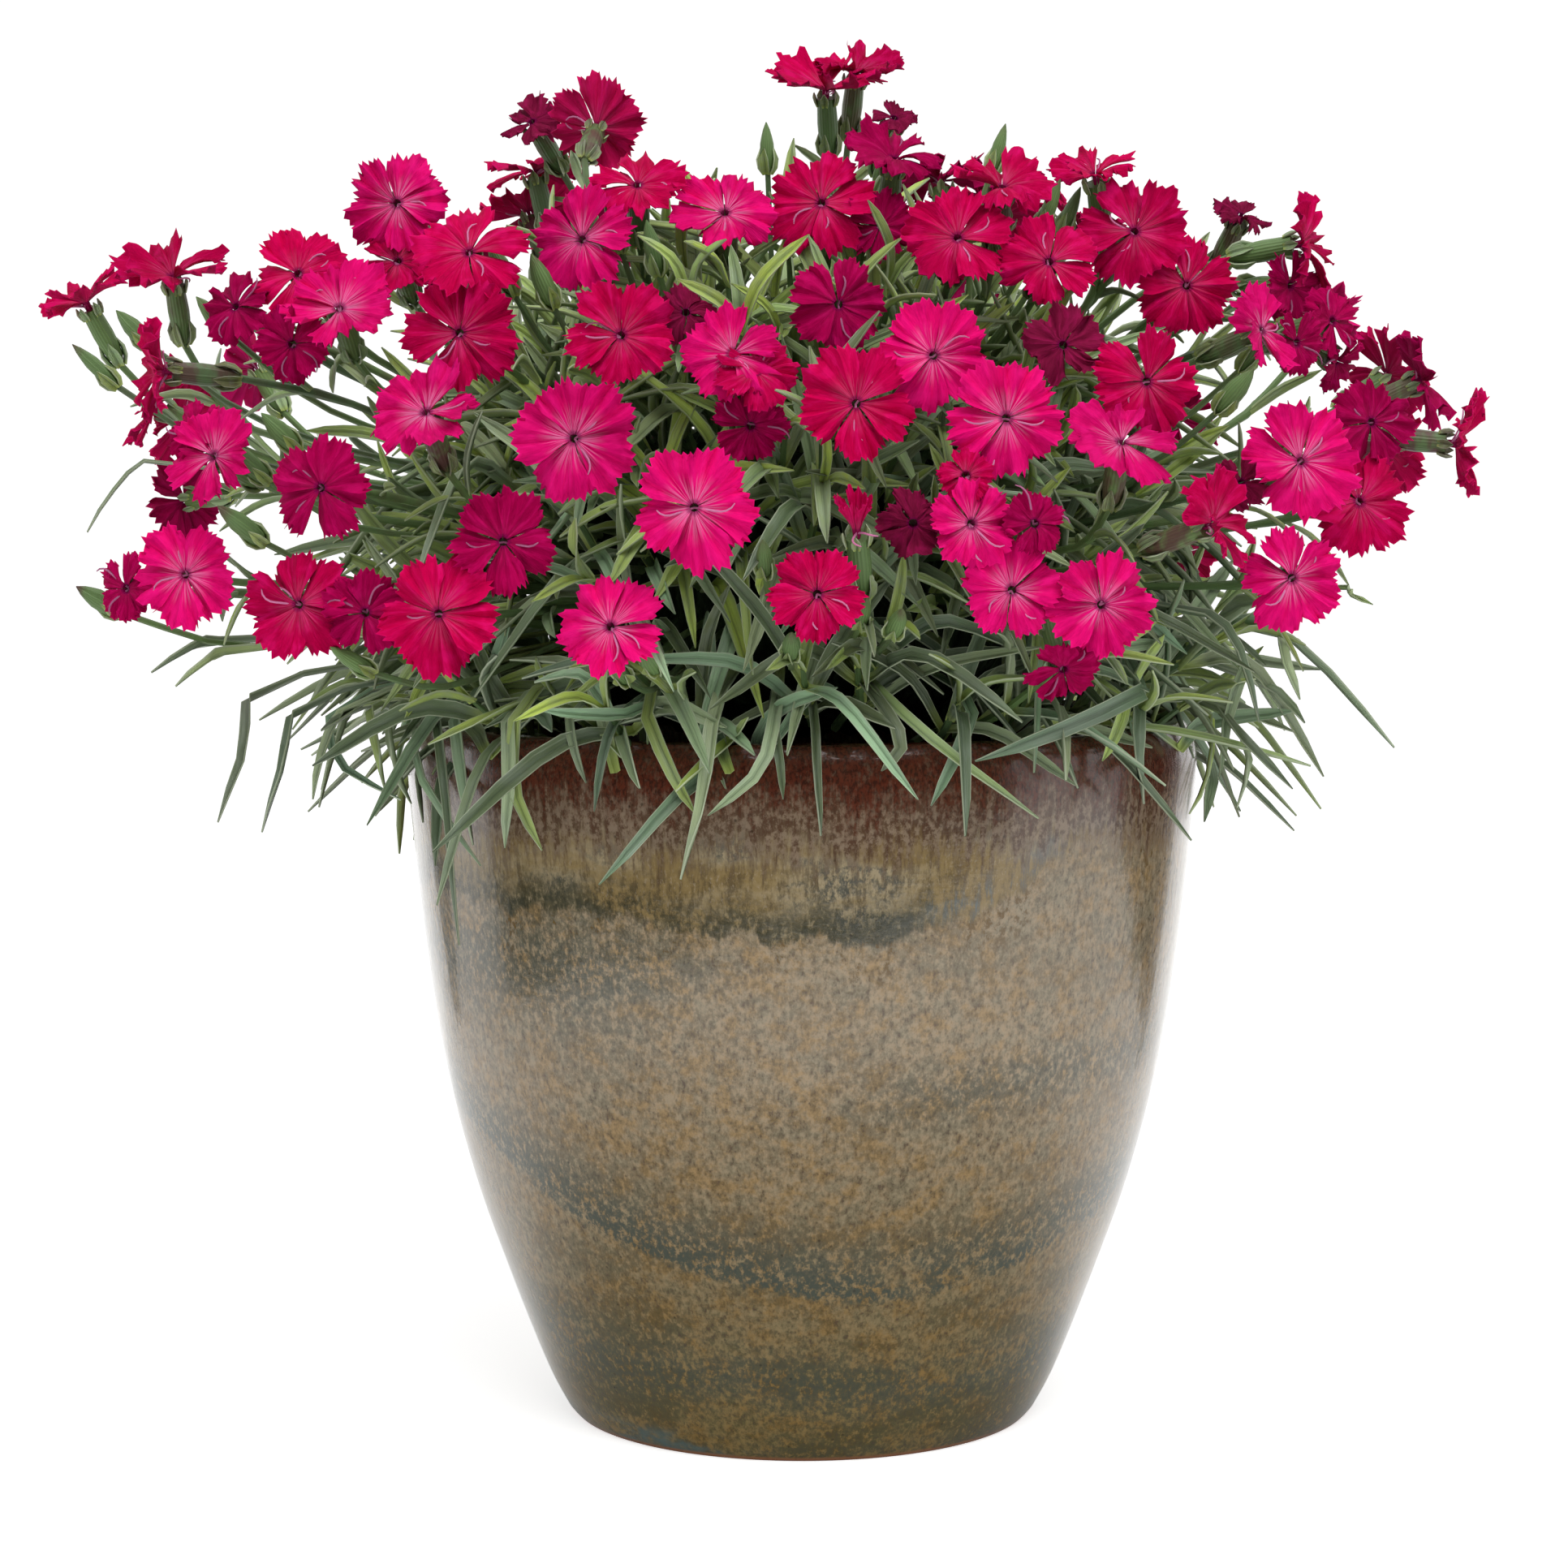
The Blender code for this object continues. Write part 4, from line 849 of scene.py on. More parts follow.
class Paint:
    """The nodes of one material, which end in its Principled shader."""

    def __init__(self, name, roughness, specular, coat=0.0):
        self.material = bpy.data.materials.new(name)
        self.material.use_nodes = True
        self.tree = self.material.node_tree
        self.shader = self.tree.nodes["Principled BSDF"].inputs
        values = {"Roughness": roughness, "Specular IOR Level": specular}
        self.feed(self.shader, {**values, "Coat Weight": coat, "Coat Roughness": 0.04})

    def feed(self, sockets, values):
        """Link wires to sockets, and set numbers and colours on them."""
        for name, value in values.items():
            if isinstance(value, Wire):
                self.tree.links.new(value.socket, sockets[name])
            else:
                colour = sockets[name].type == "RGBA"
                sockets[name].default_value = (*value, 1.0) if colour else value

    def node(self, kind, settings=None, values=None, output=0):
        """Any node: its settings are set first, then the values or links of its sockets."""
        made = self.tree.nodes.new(kind)
        for name, value in (settings or {}).items():
            setattr(made, name, value)
        self.feed(made.inputs, values or {})
        return Wire(self, made.outputs[output])

    @functools.cached_property
    def place(self):
        return self.node("ShaderNodeTexCoord", output="Object")

    @functools.cached_property
    def strip(self):
        """The place on a leaf or petal, as wires across it and along it."""
        return self.parts(self.node("ShaderNodeUVMap"))[:2]

    def parts(self, vector):
        made = self.node("ShaderNodeSeparateXYZ", None, {0: vector}).socket.node
        return [Wire(self, output) for output in made.outputs]

    def marks(self, *names):
        return [self.node("ShaderNodeAttribute", {"attribute_name": name}, output="Fac") for name in names]

    def noise(self, vector, scale=1.0, detail=3.0, rough=0.5, twist=0.0):
        values = {"Vector": vector, "Scale": scale, "Detail": detail, "Roughness": rough}
        return self.node("ShaderNodeTexNoise", None, {**values, "Distortion": twist})

    def grains(self, scale, *looks):
        """Noise over the object's own place, with a scale for each axis."""
        scaled = self.node("ShaderNodeVectorMath", {"operation": "MULTIPLY"}, {0: self.place, 1: scale})
        return self.noise(scaled, 1.0, *looks)

    def strands(self, across_it, along, tone, *looks):
        """Noise over a leaf or petal, with a scale across it, along it and for its own tone."""
        scaled = [self.strip[0] * across_it, self.strip[1] * along, tone]
        return self.noise(self.node("ShaderNodeCombineXYZ", None, dict(enumerate(scaled))), 1.0, *looks)

    def cells(self, scale):
        return self.node("ShaderNodeTexVoronoi", None, {"Vector": self.place, "Scale": scale})

    def mix(self, one, other, share, blend="MIX"):
        settings = {"data_type": "RGBA", "blend_type": blend}
        return self.node("ShaderNodeMix", settings, {0: share, 6: one, 7: other}, output=2)

    def wash(self, colour, *coats):
        """A colour under coats, each a colour, its share and where it isn't a mix its blend."""
        for coat in coats:
            colour = self.mix(colour, *coat)
        return colour

    def bump(self, height, distance, strength=1.0):
        values = {"Height": height, "Distance": distance, "Strength": strength}
        self.feed(self.shader, {"Normal": self.node("ShaderNodeBump", None, values)})

    def finish(self, colour, roughness=None):
        self.feed(self.shader, {"Base Color": colour})
        if roughness is not None:
            self.feed(self.shader, {"Roughness": roughness})
        return self.material


def shaded(colour, *shares):
    """A colour times one share, or times one for each of its parts."""
    return tuple(part * share for part, share in zip(colour, shares * 3))


def petal_material(plant):
    paint = Paint("dianthus_petals", 0.7, 0.02)
    along = paint.strip[1]
    tint = paint.node("ShaderNodeAttribute", {"attribute_name": "tint"}, output="Color")
    fresh, tone, back = paint.marks("fresh", "tone", "back")
    veins = paint.strands(9.0, 1.6, tone * 40.0, 4.0, 0.6, 0.6)
    fine = paint.strands(60.0, 4.0, tone * 90.0, 2.0)
    cloud = paint.strands(2.6, 2.2, tone * 70.0, 3.0)
    streak = paint.strands(22.0, 0.7, tone * 17.0, 1.0)
    deep = paint.mix(tint, (0.5, 0.2, 0.45), 1.0, "MULTIPLY")
    light = paint.mix(tint, (1.0, 0.015, 0.28), 0.16 + 0.3 * fresh)
    glow = along.between(0.6, 0.05) * streak.between(0.42, 0.6) * fresh**2.4
    colour = paint.wash(
        tint,
        (deep, veins.between(0.55, 0.25) * 0.55),
        (light, veins.between(0.5, 0.72) * 0.8),
        (deep, fine.between(0.52, 0.75) * 0.3),
        (light, cloud.between(0.52, 0.7) * 0.6),
        (tuple(plant.throat_colour), glow * 0.65),
        ((0.16, 0.002, 0.07), along.between(0.1, 0.02) * 0.6),
        (light, along.between(0.95, 1.0) * 0.5),
        ((0.5, 0.03, 0.17), back * 0.3 * fresh),
    )
    paint.bump(veins + fine * 0.4, 0.0006, 0.7)
    return paint.finish(colour)


def leaf_material(plant):
    paint = Paint("dianthus_leaves", 0.45, 0.5)
    across_it, along = paint.strip
    tone, young, purple, back = paint.marks("tone", "young", "purple", "back")
    off = (across_it - 0.5).size() * 2.0
    grain = paint.strands(14.0, 1.5, tone * 50.0, 3.0)
    cloud = paint.strands(1.5, 5.0, tone * 30.0, 2.0)
    colour = paint.wash(
        shaded(plant.leaf_mature, 0.18),
        (tuple(plant.leaf_mature), (1.0 - tone) ** 1.6),
        ((0.66, 0.9, 1.0), (tone * 41.0).sine() * 0.5 + 0.5, "MULTIPLY"),
        (tuple(plant.leaf_young), young),
        ((0.3, 0.36, 0.3), cloud.between(0.4, 0.75) * 0.4),
        ((0.04, 0.07, 0.03), grain.between(0.5, 0.75) * 0.3),
        # painted shade: the middle of each leaf, down its channel, is darker
        ((0.035, 0.065, 0.03), off.between(0.22, 0.0) * 0.45),
        ((0.5, 0.56, 0.4), off.between(0.86, 0.98) * 0.7),
        ((0.44, 0.55, 0.12), along.between(0.24, 0.0) * 0.85),
        ((0.09, 0.02, 0.03), purple * grain.between(0.3, 0.6)),
        ((0.22, 0.28, 0.19), back * 0.35),
    )
    paint.bump(grain * 0.6 + off.between(0.0, 0.45), 0.0006, 0.8)
    return paint.finish(colour, 0.32 + 0.25 * grain)


def stem_material():
    paint = Paint("dianthus_stems", 0.5, 0.4)
    around, along = paint.strip
    tone, purple = paint.marks("tone", "purple")
    ribs = (around * 125.0).sine() * 0.5 + 0.5
    cloud = paint.grains((260.0, 260.0, 120.0), 3.0)
    colour = paint.wash(
        (0.16, 0.27, 0.08),
        ((0.085, 0.15, 0.06), tone),
        ((0.07, 0.12, 0.045), ribs * 0.35),
        ((0.1, 0.025, 0.035), purple * cloud.between(0.35, 0.6)),
        ((0.3, 0.42, 0.14), along.between(0.12, 0.0) * 0.3),
    )
    paint.bump(ribs, 0.0002, 0.5)
    return paint.finish(colour)


# painted shade: the heart of the bush is coloured near black, for the deep shade among the leaves
def heart_shade_material():
    paint = Paint("dianthus_heart_shade", 0.9, 0.1)
    blades = paint.grains((300.0, 300.0, 90.0), 4.0)
    paint.bump(blades, 0.004)
    return paint.finish(paint.mix((0.006, 0.011, 0.005), (0.03, 0.05, 0.022), blades.between(0.4, 0.7)))


def soil_material(planter):
    paint = Paint("potting_soil", 0.95, 0.15)
    clods, bits = paint.noise(paint.place, 260.0, 6.0, 0.7), paint.cells(420.0)
    dark = tuple(planter.soil_colour)
    paint.bump(clods + bits * 0.5, 0.0016)
    colour = paint.mix(shaded(dark, 0.35), dark, clods.between(0.35, 0.65))
    return paint.finish(paint.mix(colour, (0.16, 0.11, 0.07), bits.between(0.22, 0.08) * 0.5))


def glaze_material(planter):
    """Run glaze: tan and brown mottles, blue-grey bands, a golden zone over a painted reflection edge, and
    an oxblood rim.
    """
    paint = Paint("run_glaze", 0.1, 0.5, 0.3)
    x, _, z = [part * 1000.0 for part in paint.parts(paint.place)]
    tan, brown = tuple(planter.glaze_light), tuple(planter.glaze_dark)
    wander = paint.grains((9.0, 9.0, 5.0), 2.0)
    cloud = paint.grains((28.0, 28.0, 70.0), 5.0, 0.62)
    speck = paint.grains((620.0, 620.0, 460.0), 6.0, 0.7)
    hue = paint.grains((150.0, 150.0, 170.0), 5.0, 0.7)
    grain = paint.grains((1500.0, 1500.0, 800.0), 3.0, 0.6)
    runs = paint.grains((520.0, 520.0, 70.0), 6.0, 0.7)
    drips = paint.grains((75.0, 75.0, 3.0), 4.0, 0.6)
    mottle = speck * 0.75 + grain * 0.25

    # the mottled body, darker towards the foot, with blue-grey bands
    high = z.between(-5.0, 102.0)
    light = paint.mix(shaded(tan, 0.64, 0.57, 0.31), tan, high)
    dark = paint.mix(shaded(brown, 0.52, 0.54, 0.28), brown, high)
    clots = cloud.between(0.47, 0.58) * mottle.between(0.36, 0.5) * (1.0 - high * 0.65)
    sway = (wander - 0.5) * 26.0
    bow = z - 46.0 - (x - 12.0) ** 2.0 * 0.0036 + sway * 0.5 + (speck - 0.5) * 9.0
    teal = bow.between(-1.5, 1.5) * bow.between(20.0, 3.0)
    rise = z - 93.0 - 0.13 * x + sway
    teal = teal + rise.band(0.0, 11.0) * x.between(0.0, 45.0) * 0.6
    teal = teal + (z + sway - 122.0).band(0.0, 24.0) * x.between(-8.0, -50.0) * 0.75
    teal = teal + (z + sway - 24.0).band(0.0, 15.0) * 0.7 + z.between(12.0, 2.0) * 0.3
    body = paint.wash(
        light,
        (dark, mottle.between(0.37, 0.65)),
        (dark, clots * 0.85),
        ((1.0, 0.86, 0.6), hue.between(0.48, 0.62) * 0.8, "MULTIPLY"),
        ((0.8, 0.92, 1.0), hue.between(0.5, 0.38) * 0.55, "MULTIPLY"),
        ((0.085, 0.045, 0.035), (grain * 0.5 + speck * 0.5).between(0.56, 0.64) * 0.6),
        (tuple(planter.glaze_blue), teal * mottle.between(0.4, 0.53) * cloud.between(0.3, 0.46) * 0.85),
    )

    # the golden zone over a painted reflection edge, the line where the floor's reflection ends: painted
    # slate-grey streaks and a painted dark band along it, and orange-brown spots under it, painted where
    # the reflection has gaps
    # painted reflection edge: the line where the floor's reflection ends, made jagged by the runs and
    # drips
    line = z - 133.0 - x.between(20.0, 80.0) * 22.0 - x.between(-20.0, -45.0) * 5.0
    line = line + (drips - 0.5) * 18.0 + (runs - 0.5) * 7.0
    # painted reflection edge: slate-grey streaks a little over the line on the right
    painted_reflection_slate = line.band(4.0, 6.0) * x.between(14.0, 34.0) * (runs * 0.5 + cloud * 0.5).between(0.44, 0.54)
    golden = paint.wash(
        (0.24, 0.17, 0.07),
        ((0.33, 0.27, 0.165), cloud.between(0.4, 0.6)),
        ((0.07, 0.05, 0.024), (runs * 0.6 + speck * 0.4).between(0.44, 0.6) * 0.75),
        ((0.05, 0.06, 0.055), cloud.between(0.5, 0.62) * mottle.between(0.44, 0.56) * 0.8),
        ((0.34, 0.28, 0.19), grain.between(0.55, 0.7) * 0.5),
        ((0.12, 0.145, 0.145), painted_reflection_slate * 0.85),
    )
    # painted reflection edge: a dark band just over the line
    lip = line.between(-1.5, 0.5) * line.between(11.0, 2.0) * x.between(42.0, 24.0)
    # painted gaps in the reflection: orange-brown spots just under the line
    spots = (drips * 0.5 + speck * 0.5).between(0.56, 0.6)
    spots = spots * line.between(-14.0, -3.0) * line.between(1.0, -1.0)

    # the oxblood rim, the foot and the pits
    height = z + (runs - 0.5) * 30.0 + (drips - 0.5) * 16.0
    under = paint.mix((0.08, 0.042, 0.026), (0.24, 0.175, 0.12), speck.between(0.42, 0.6))
    top = paint.wash(
        tuple(planter.rim_colour),
        ((0.028, 0.012, 0.008), grain.between(0.42, 0.62) * 0.8),
        ((0.15, 0.1, 0.065), (speck * 0.6 + runs * 0.4).between(0.5, 0.62) * 0.55),
    )
    foot = z.between(8.0, 3.0) * x.between(-5.0, -25.0)
    pits = paint.cells(330.0).between(0.16, 0.06) * cloud.between(0.45, 0.6)
    colour = paint.wash(
        body,
        (golden, line.between(-1.0, 1.0)),
        # painted reflection edge: its dark band, and orange-brown spots where the painted reflection has
        # gaps
        ((0.035, 0.036, 0.02), lip * (mottle * 0.6 + cloud * 0.4).between(0.38, 0.53) * 0.82),
        ((0.13, 0.075, 0.02), spots * 0.9),
        (under, height.between(147.0, 158.0) * 0.92),
        (top, height.between(157.0, 169.0)),
        ((0.07, 0.11, 0.105), foot * cloud.between(0.4, 0.52)),
        ((0.26, 0.11, 0.05), z.between(1.4, 0.5)),
        ((0.02, 0.014, 0.008), pits * 0.6),
    )
    paint.bump(cloud * 0.5 + speck * 0.14 + runs * 0.12, 0.0007, 0.7)
    return paint.finish(colour, 0.05 + 0.1 * speck)


def colour_setting(name, description, default):
    return FloatVectorProperty(
        name=name, description=description, subtype="COLOR", size=3, default=default, min=0.0, max=1.0
    )


def length_setting(name, description, default, low, high):
    return FloatProperty(
        name=name, description=description, subtype="DISTANCE", unit="LENGTH",
        default=default, min=low, max=high, precision=5,
    )


def light_setting(name, description, default, high, **units):
    return FloatProperty(
        name=name, description=description, default=default, min=0.0, max=high, **units
    )


def count_setting(name, description, default, low, high):
    return IntProperty(name=name, description=description, default=default, min=low, max=high)


class DianthusPlanter(bpy.types.PropertyGroup):
    """Sizes and colours of the pot and its soil."""

    sides: count_setting("Sides", "Points round the pot's turned wall", 160, 24, 400)
    glaze_light: colour_setting("Tan glaze", "The lighter colour of the mottles", (0.33, 0.25, 0.155))
    glaze_dark: colour_setting("Brown glaze", "The darker colour of the mottles", (0.135, 0.105, 0.06))
    glaze_blue: colour_setting("Blue glaze", "The blue-grey of the speckled bands", (0.052, 0.068, 0.056))
    rim_colour: colour_setting("Oxblood rim", "The red-brown glaze round the rim", (0.11, 0.027, 0.014))
    soil_colour: colour_setting("Soil", "The colour of the damp potting soil", (0.045, 0.03, 0.02))


class DianthusPlant(bpy.types.PropertyGroup):
    """Sizes and colours of the blooms, stems and leaves."""

    petal_red: colour_setting("Red petals", "Colour of a fresh crimson bloom", (0.53, 0.0006, 0.067))
    petal_pink: colour_setting("Pink petals", "Colour of a newly opened bloom", (0.71, 0.0035, 0.15))
    petal_wine: colour_setting("Wine petals", "Colour of an older bloom", (0.38, 0.0008, 0.068))
    petal_faded: colour_setting("Faded petals", "Colour of a spent bloom", (0.21, 0.008, 0.046))
    throat_colour: colour_setting("Throat streaks", "Pale pink round the throat", (0.85, 0.3, 0.55))
    leaf_mature: colour_setting("Grown leaves", "Grey-green of the grown leaves", (0.49, 0.6, 0.35))
    leaf_young: colour_setting("Young leaves", "Bright green of the shoots' tips", (0.52, 0.68, 0.12))
    petal_thickness: length_setting("Petal thickness", "Thickness of a petal", 0.0003, 0.0001, 0.001)
    leaf_width: length_setting("Leaf width", "Greatest width of a grown leaf", 0.0042, 0.001, 0.01)
    leaf_length: length_setting("Leaf length", "Length of a leaf of a shoot", 0.042, 0.01, 0.08)
    style_length: length_setting("Style length", "Length of the curled styles", 0.0095, 0.0, 0.02)
    shoots: count_setting("Leafy shoots", "Shoots that cover the bush", 180, 0, 400)
    rim_shoots: count_setting("Rim shoots", "Shoots that rise round the edge of the soil", 54, 0, 200)


class DianthusStage(bpy.types.PropertyGroup):
    """Light of the studio."""

    ambient: light_setting("Surrounding light", "Strength of the surroundings on matt surfaces", 0.5, 3.0)
    floor_glow: light_setting("Floor glow", "Light that the floor gives off by itself", 0.6, 2.0)
    key_power: light_setting(
        "Key light", "Power of the soft light above the camera", 19.0, 500.0, subtype="POWER", unit="POWER"
    )
    fill_power: light_setting(
        "Side lights", "Power of each soft light beside the pot", 1.6, 500.0, subtype="POWER", unit="POWER"
    )


def dress(piece, node):
    """The piece rides on the root body and stands for a CAD node, which it hides."""
    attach(piece, "root")
    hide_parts(node)


def turned_piece(name, rings, sides, material):
    """A round closed piece: a filled circle extruded and scaled from (height, radius) to the next."""
    deselect()
    height, radius = rings[0]
    bpy.ops.mesh.primitive_circle_add(
        vertices=sides, radius=radius * MM, fill_type="NGON", location=(0, 0, height * MM)
    )
    item = bpy.context.active_object
    item.name = item.data.name = name
    bpy.ops.object.transform_apply(location=True, rotation=True, scale=True)
    edit_all()
    for new_height, new_radius in rings[1:]:
        rise = (0, 0, (new_height - height) * MM)
        bpy.ops.mesh.extrude_region_move(TRANSFORM_OT_translate={"value": rise})
        share = new_radius / radius
        bpy.ops.transform.resize(value=(share, share, 1.0), center_override=(0, 0, new_height * MM))
        height, radius = new_height, new_radius
    face_outwards()
    bpy.ops.object.shade_smooth_by_angle(angle=math.radians(40))
    item.data.materials.append(material)
    return item


class DIANTHUS_OT_pot(bpy.types.Operator):
    """Turn the glazed pot: wall, rolled lip, inside, floor and drain holes"""

    bl_idname = "dianthus.pot"
    bl_label = "Glazed pot"

    def execute(self, context):
        settings = context.scene.dianthus_planter
        rings = []
        for part, count in ((POT_OUTER + POT_LIP[:2], 49), (POT_LIP[1:] + POT_INNER, 31)):
            curve = smooth_path([Vector((radius, 0.0, height)) for height, radius in part], count)
            rings += [(point.z, point.x) for point in curve[1:]]
        foot = POT_OUTER[0][1]
        rings = [(0.0, foot - FOOT_BEVEL), (FOOT_BEVEL, foot), *rings]
        pot = turned_piece("glazed_pot", rings, settings.sides, glaze_material(settings))
        for step in range(DRAINS):
            place = heading(math.radians(90) + math.tau * step / DRAINS) * (DRAIN_OFFSET * MM)
            deselect()
            bpy.ops.mesh.primitive_cylinder_add(
                vertices=32, radius=DRAIN_RADIUS * MM, depth=0.02, location=(place.x, place.y, 0.005)
            )
            drill = context.active_object
            deselect()
            context.view_layer.objects.active = pot
            cut = pot.modifiers.new("drain", "BOOLEAN")
            cut.operation, cut.solver, cut.object = "DIFFERENCE", "EXACT", drill
            bpy.ops.object.modifier_apply(modifier="drain")
            bpy.data.objects.remove(drill, do_unlink=True)
        pot.select_set(True)
        bpy.ops.object.shade_smooth_by_angle(angle=math.radians(40))
        dress(pot, "pot")
        return {"FINISHED"}


class DIANTHUS_OT_soil(bpy.types.Operator):
    """Fill the pot with crumbly soil round the crown of the plant"""

    bl_idname = "dianthus.soil"
    bl_label = "Potting soil"

    def execute(self, context):
        slack = GAP + 0.5
        wall = profile([POT_INNER[0], POT_LIP[-1]], SOIL_TOP) - slack
        floor_height, floor_radius = POT_INNER[-1]
        rings = [(floor_height + GAP, floor_radius - 4.0)]
        rings += [(height, radius - slack) for height, radius in reversed(POT_INNER[:-1])]
        rings.append((SOIL_TOP - 1.5, wall))
        hole = NECK_RADIUS + GAP
        for radius in np.linspace(wall, hole, 31)[1:]:
            share = min(1.0, (wall - radius) / (wall - SOIL_RING))
            rings.append((SOIL_TOP + (SOIL_CROWN - SOIL_TOP) * share, radius))
        rings.append((NECK_BOTTOM - GAP, hole))
        soil = turned_piece("potting_soil", rings, 150, soil_material(context.scene.dianthus_planter))
        for vert in soil.data.vertices:
            spot = vert.co / MM
            if spot.z > SOIL_TOP - 1.0 and hole + 1.0 < math.hypot(spot.x, spot.y) < wall - 0.5:
                vert.co.z += (noise.noise(spot * 0.12) * 1.6 + noise.noise(spot * 0.45) * 1.3) * MM
        dress(soil, "soil")
        return {"FINISHED"}


class DIANTHUS_OT_blooms(bpy.types.Operator):
    """Open every bloom: toothed petals on their claws and two curled styles"""

    bl_idname = "dianthus.blooms"
    bl_label = "Blooms"

    def execute(self, context):
        plant = context.scene.dianthus_plant
        petal = sheet_blank(PETAL_COLUMNS, len(PETAL_ROWS) - 1)
        tube = tube_blank(TUBE_SIDES, 8)
        flesh = petal_material(plant)
        heaps = {}
        for bloom in place_blooms():
            heap = heaps.setdefault(bloom.bunch, Heap("tint", "fresh", "tone", "back"))
            self.petals(heap, petal, bloom, plant)
            if bloom.kind != "faded":
                self.styles(heap, tube, bloom, plant)
        for bunch, heap in heaps.items():
            dress(heap.build("bloom_" + bunch, flesh, 50.0), "petals_" + bunch)
        return {"FINISHED"}

    def petals(self, heap, blank, bloom, plant):
        kind = "red" if bloom.kind == "half" else bloom.kind
        bloom.draw = random.Random(bloom.spin * 31.0)
        tint = np.array(getattr(plant, "petal_" + kind)) * bloom.draw.uniform(0.86, 1.1)
        for number in range(PETALS):
            points, uvs, back = bend_petal(bloom, number, blank, plant.petal_thickness / MM)
            tone = bloom.draw.random()
            own, fresh = tint * (0.9 + 0.2 * tone), FRESH[bloom.kind]
            heap.add(blank, points, uvs, tint=own, fresh=fresh, tone=tone, back=back)

    def styles(self, heap, blank, bloom, plant):
        """Two pale styles, which take the petals' colours from a place clear of the throat."""
        tint = np.array(plant.throat_colour) * (0.6 if bloom.kind == "wine" else 0.95)
        for number in range(2):
            length = plant.style_length / MM * bloom.draw.uniform(0.75, 1.1)
            path = style_path(bloom, number, length)
            points, uvs = bend_tube(blank, path, profile(STYLE_RADII, np.linspace(0, 1, len(path))))
            uvs[:, 1] = 0.7
            heap.add(blank, points, uvs, tint=tint, tone=0.5)


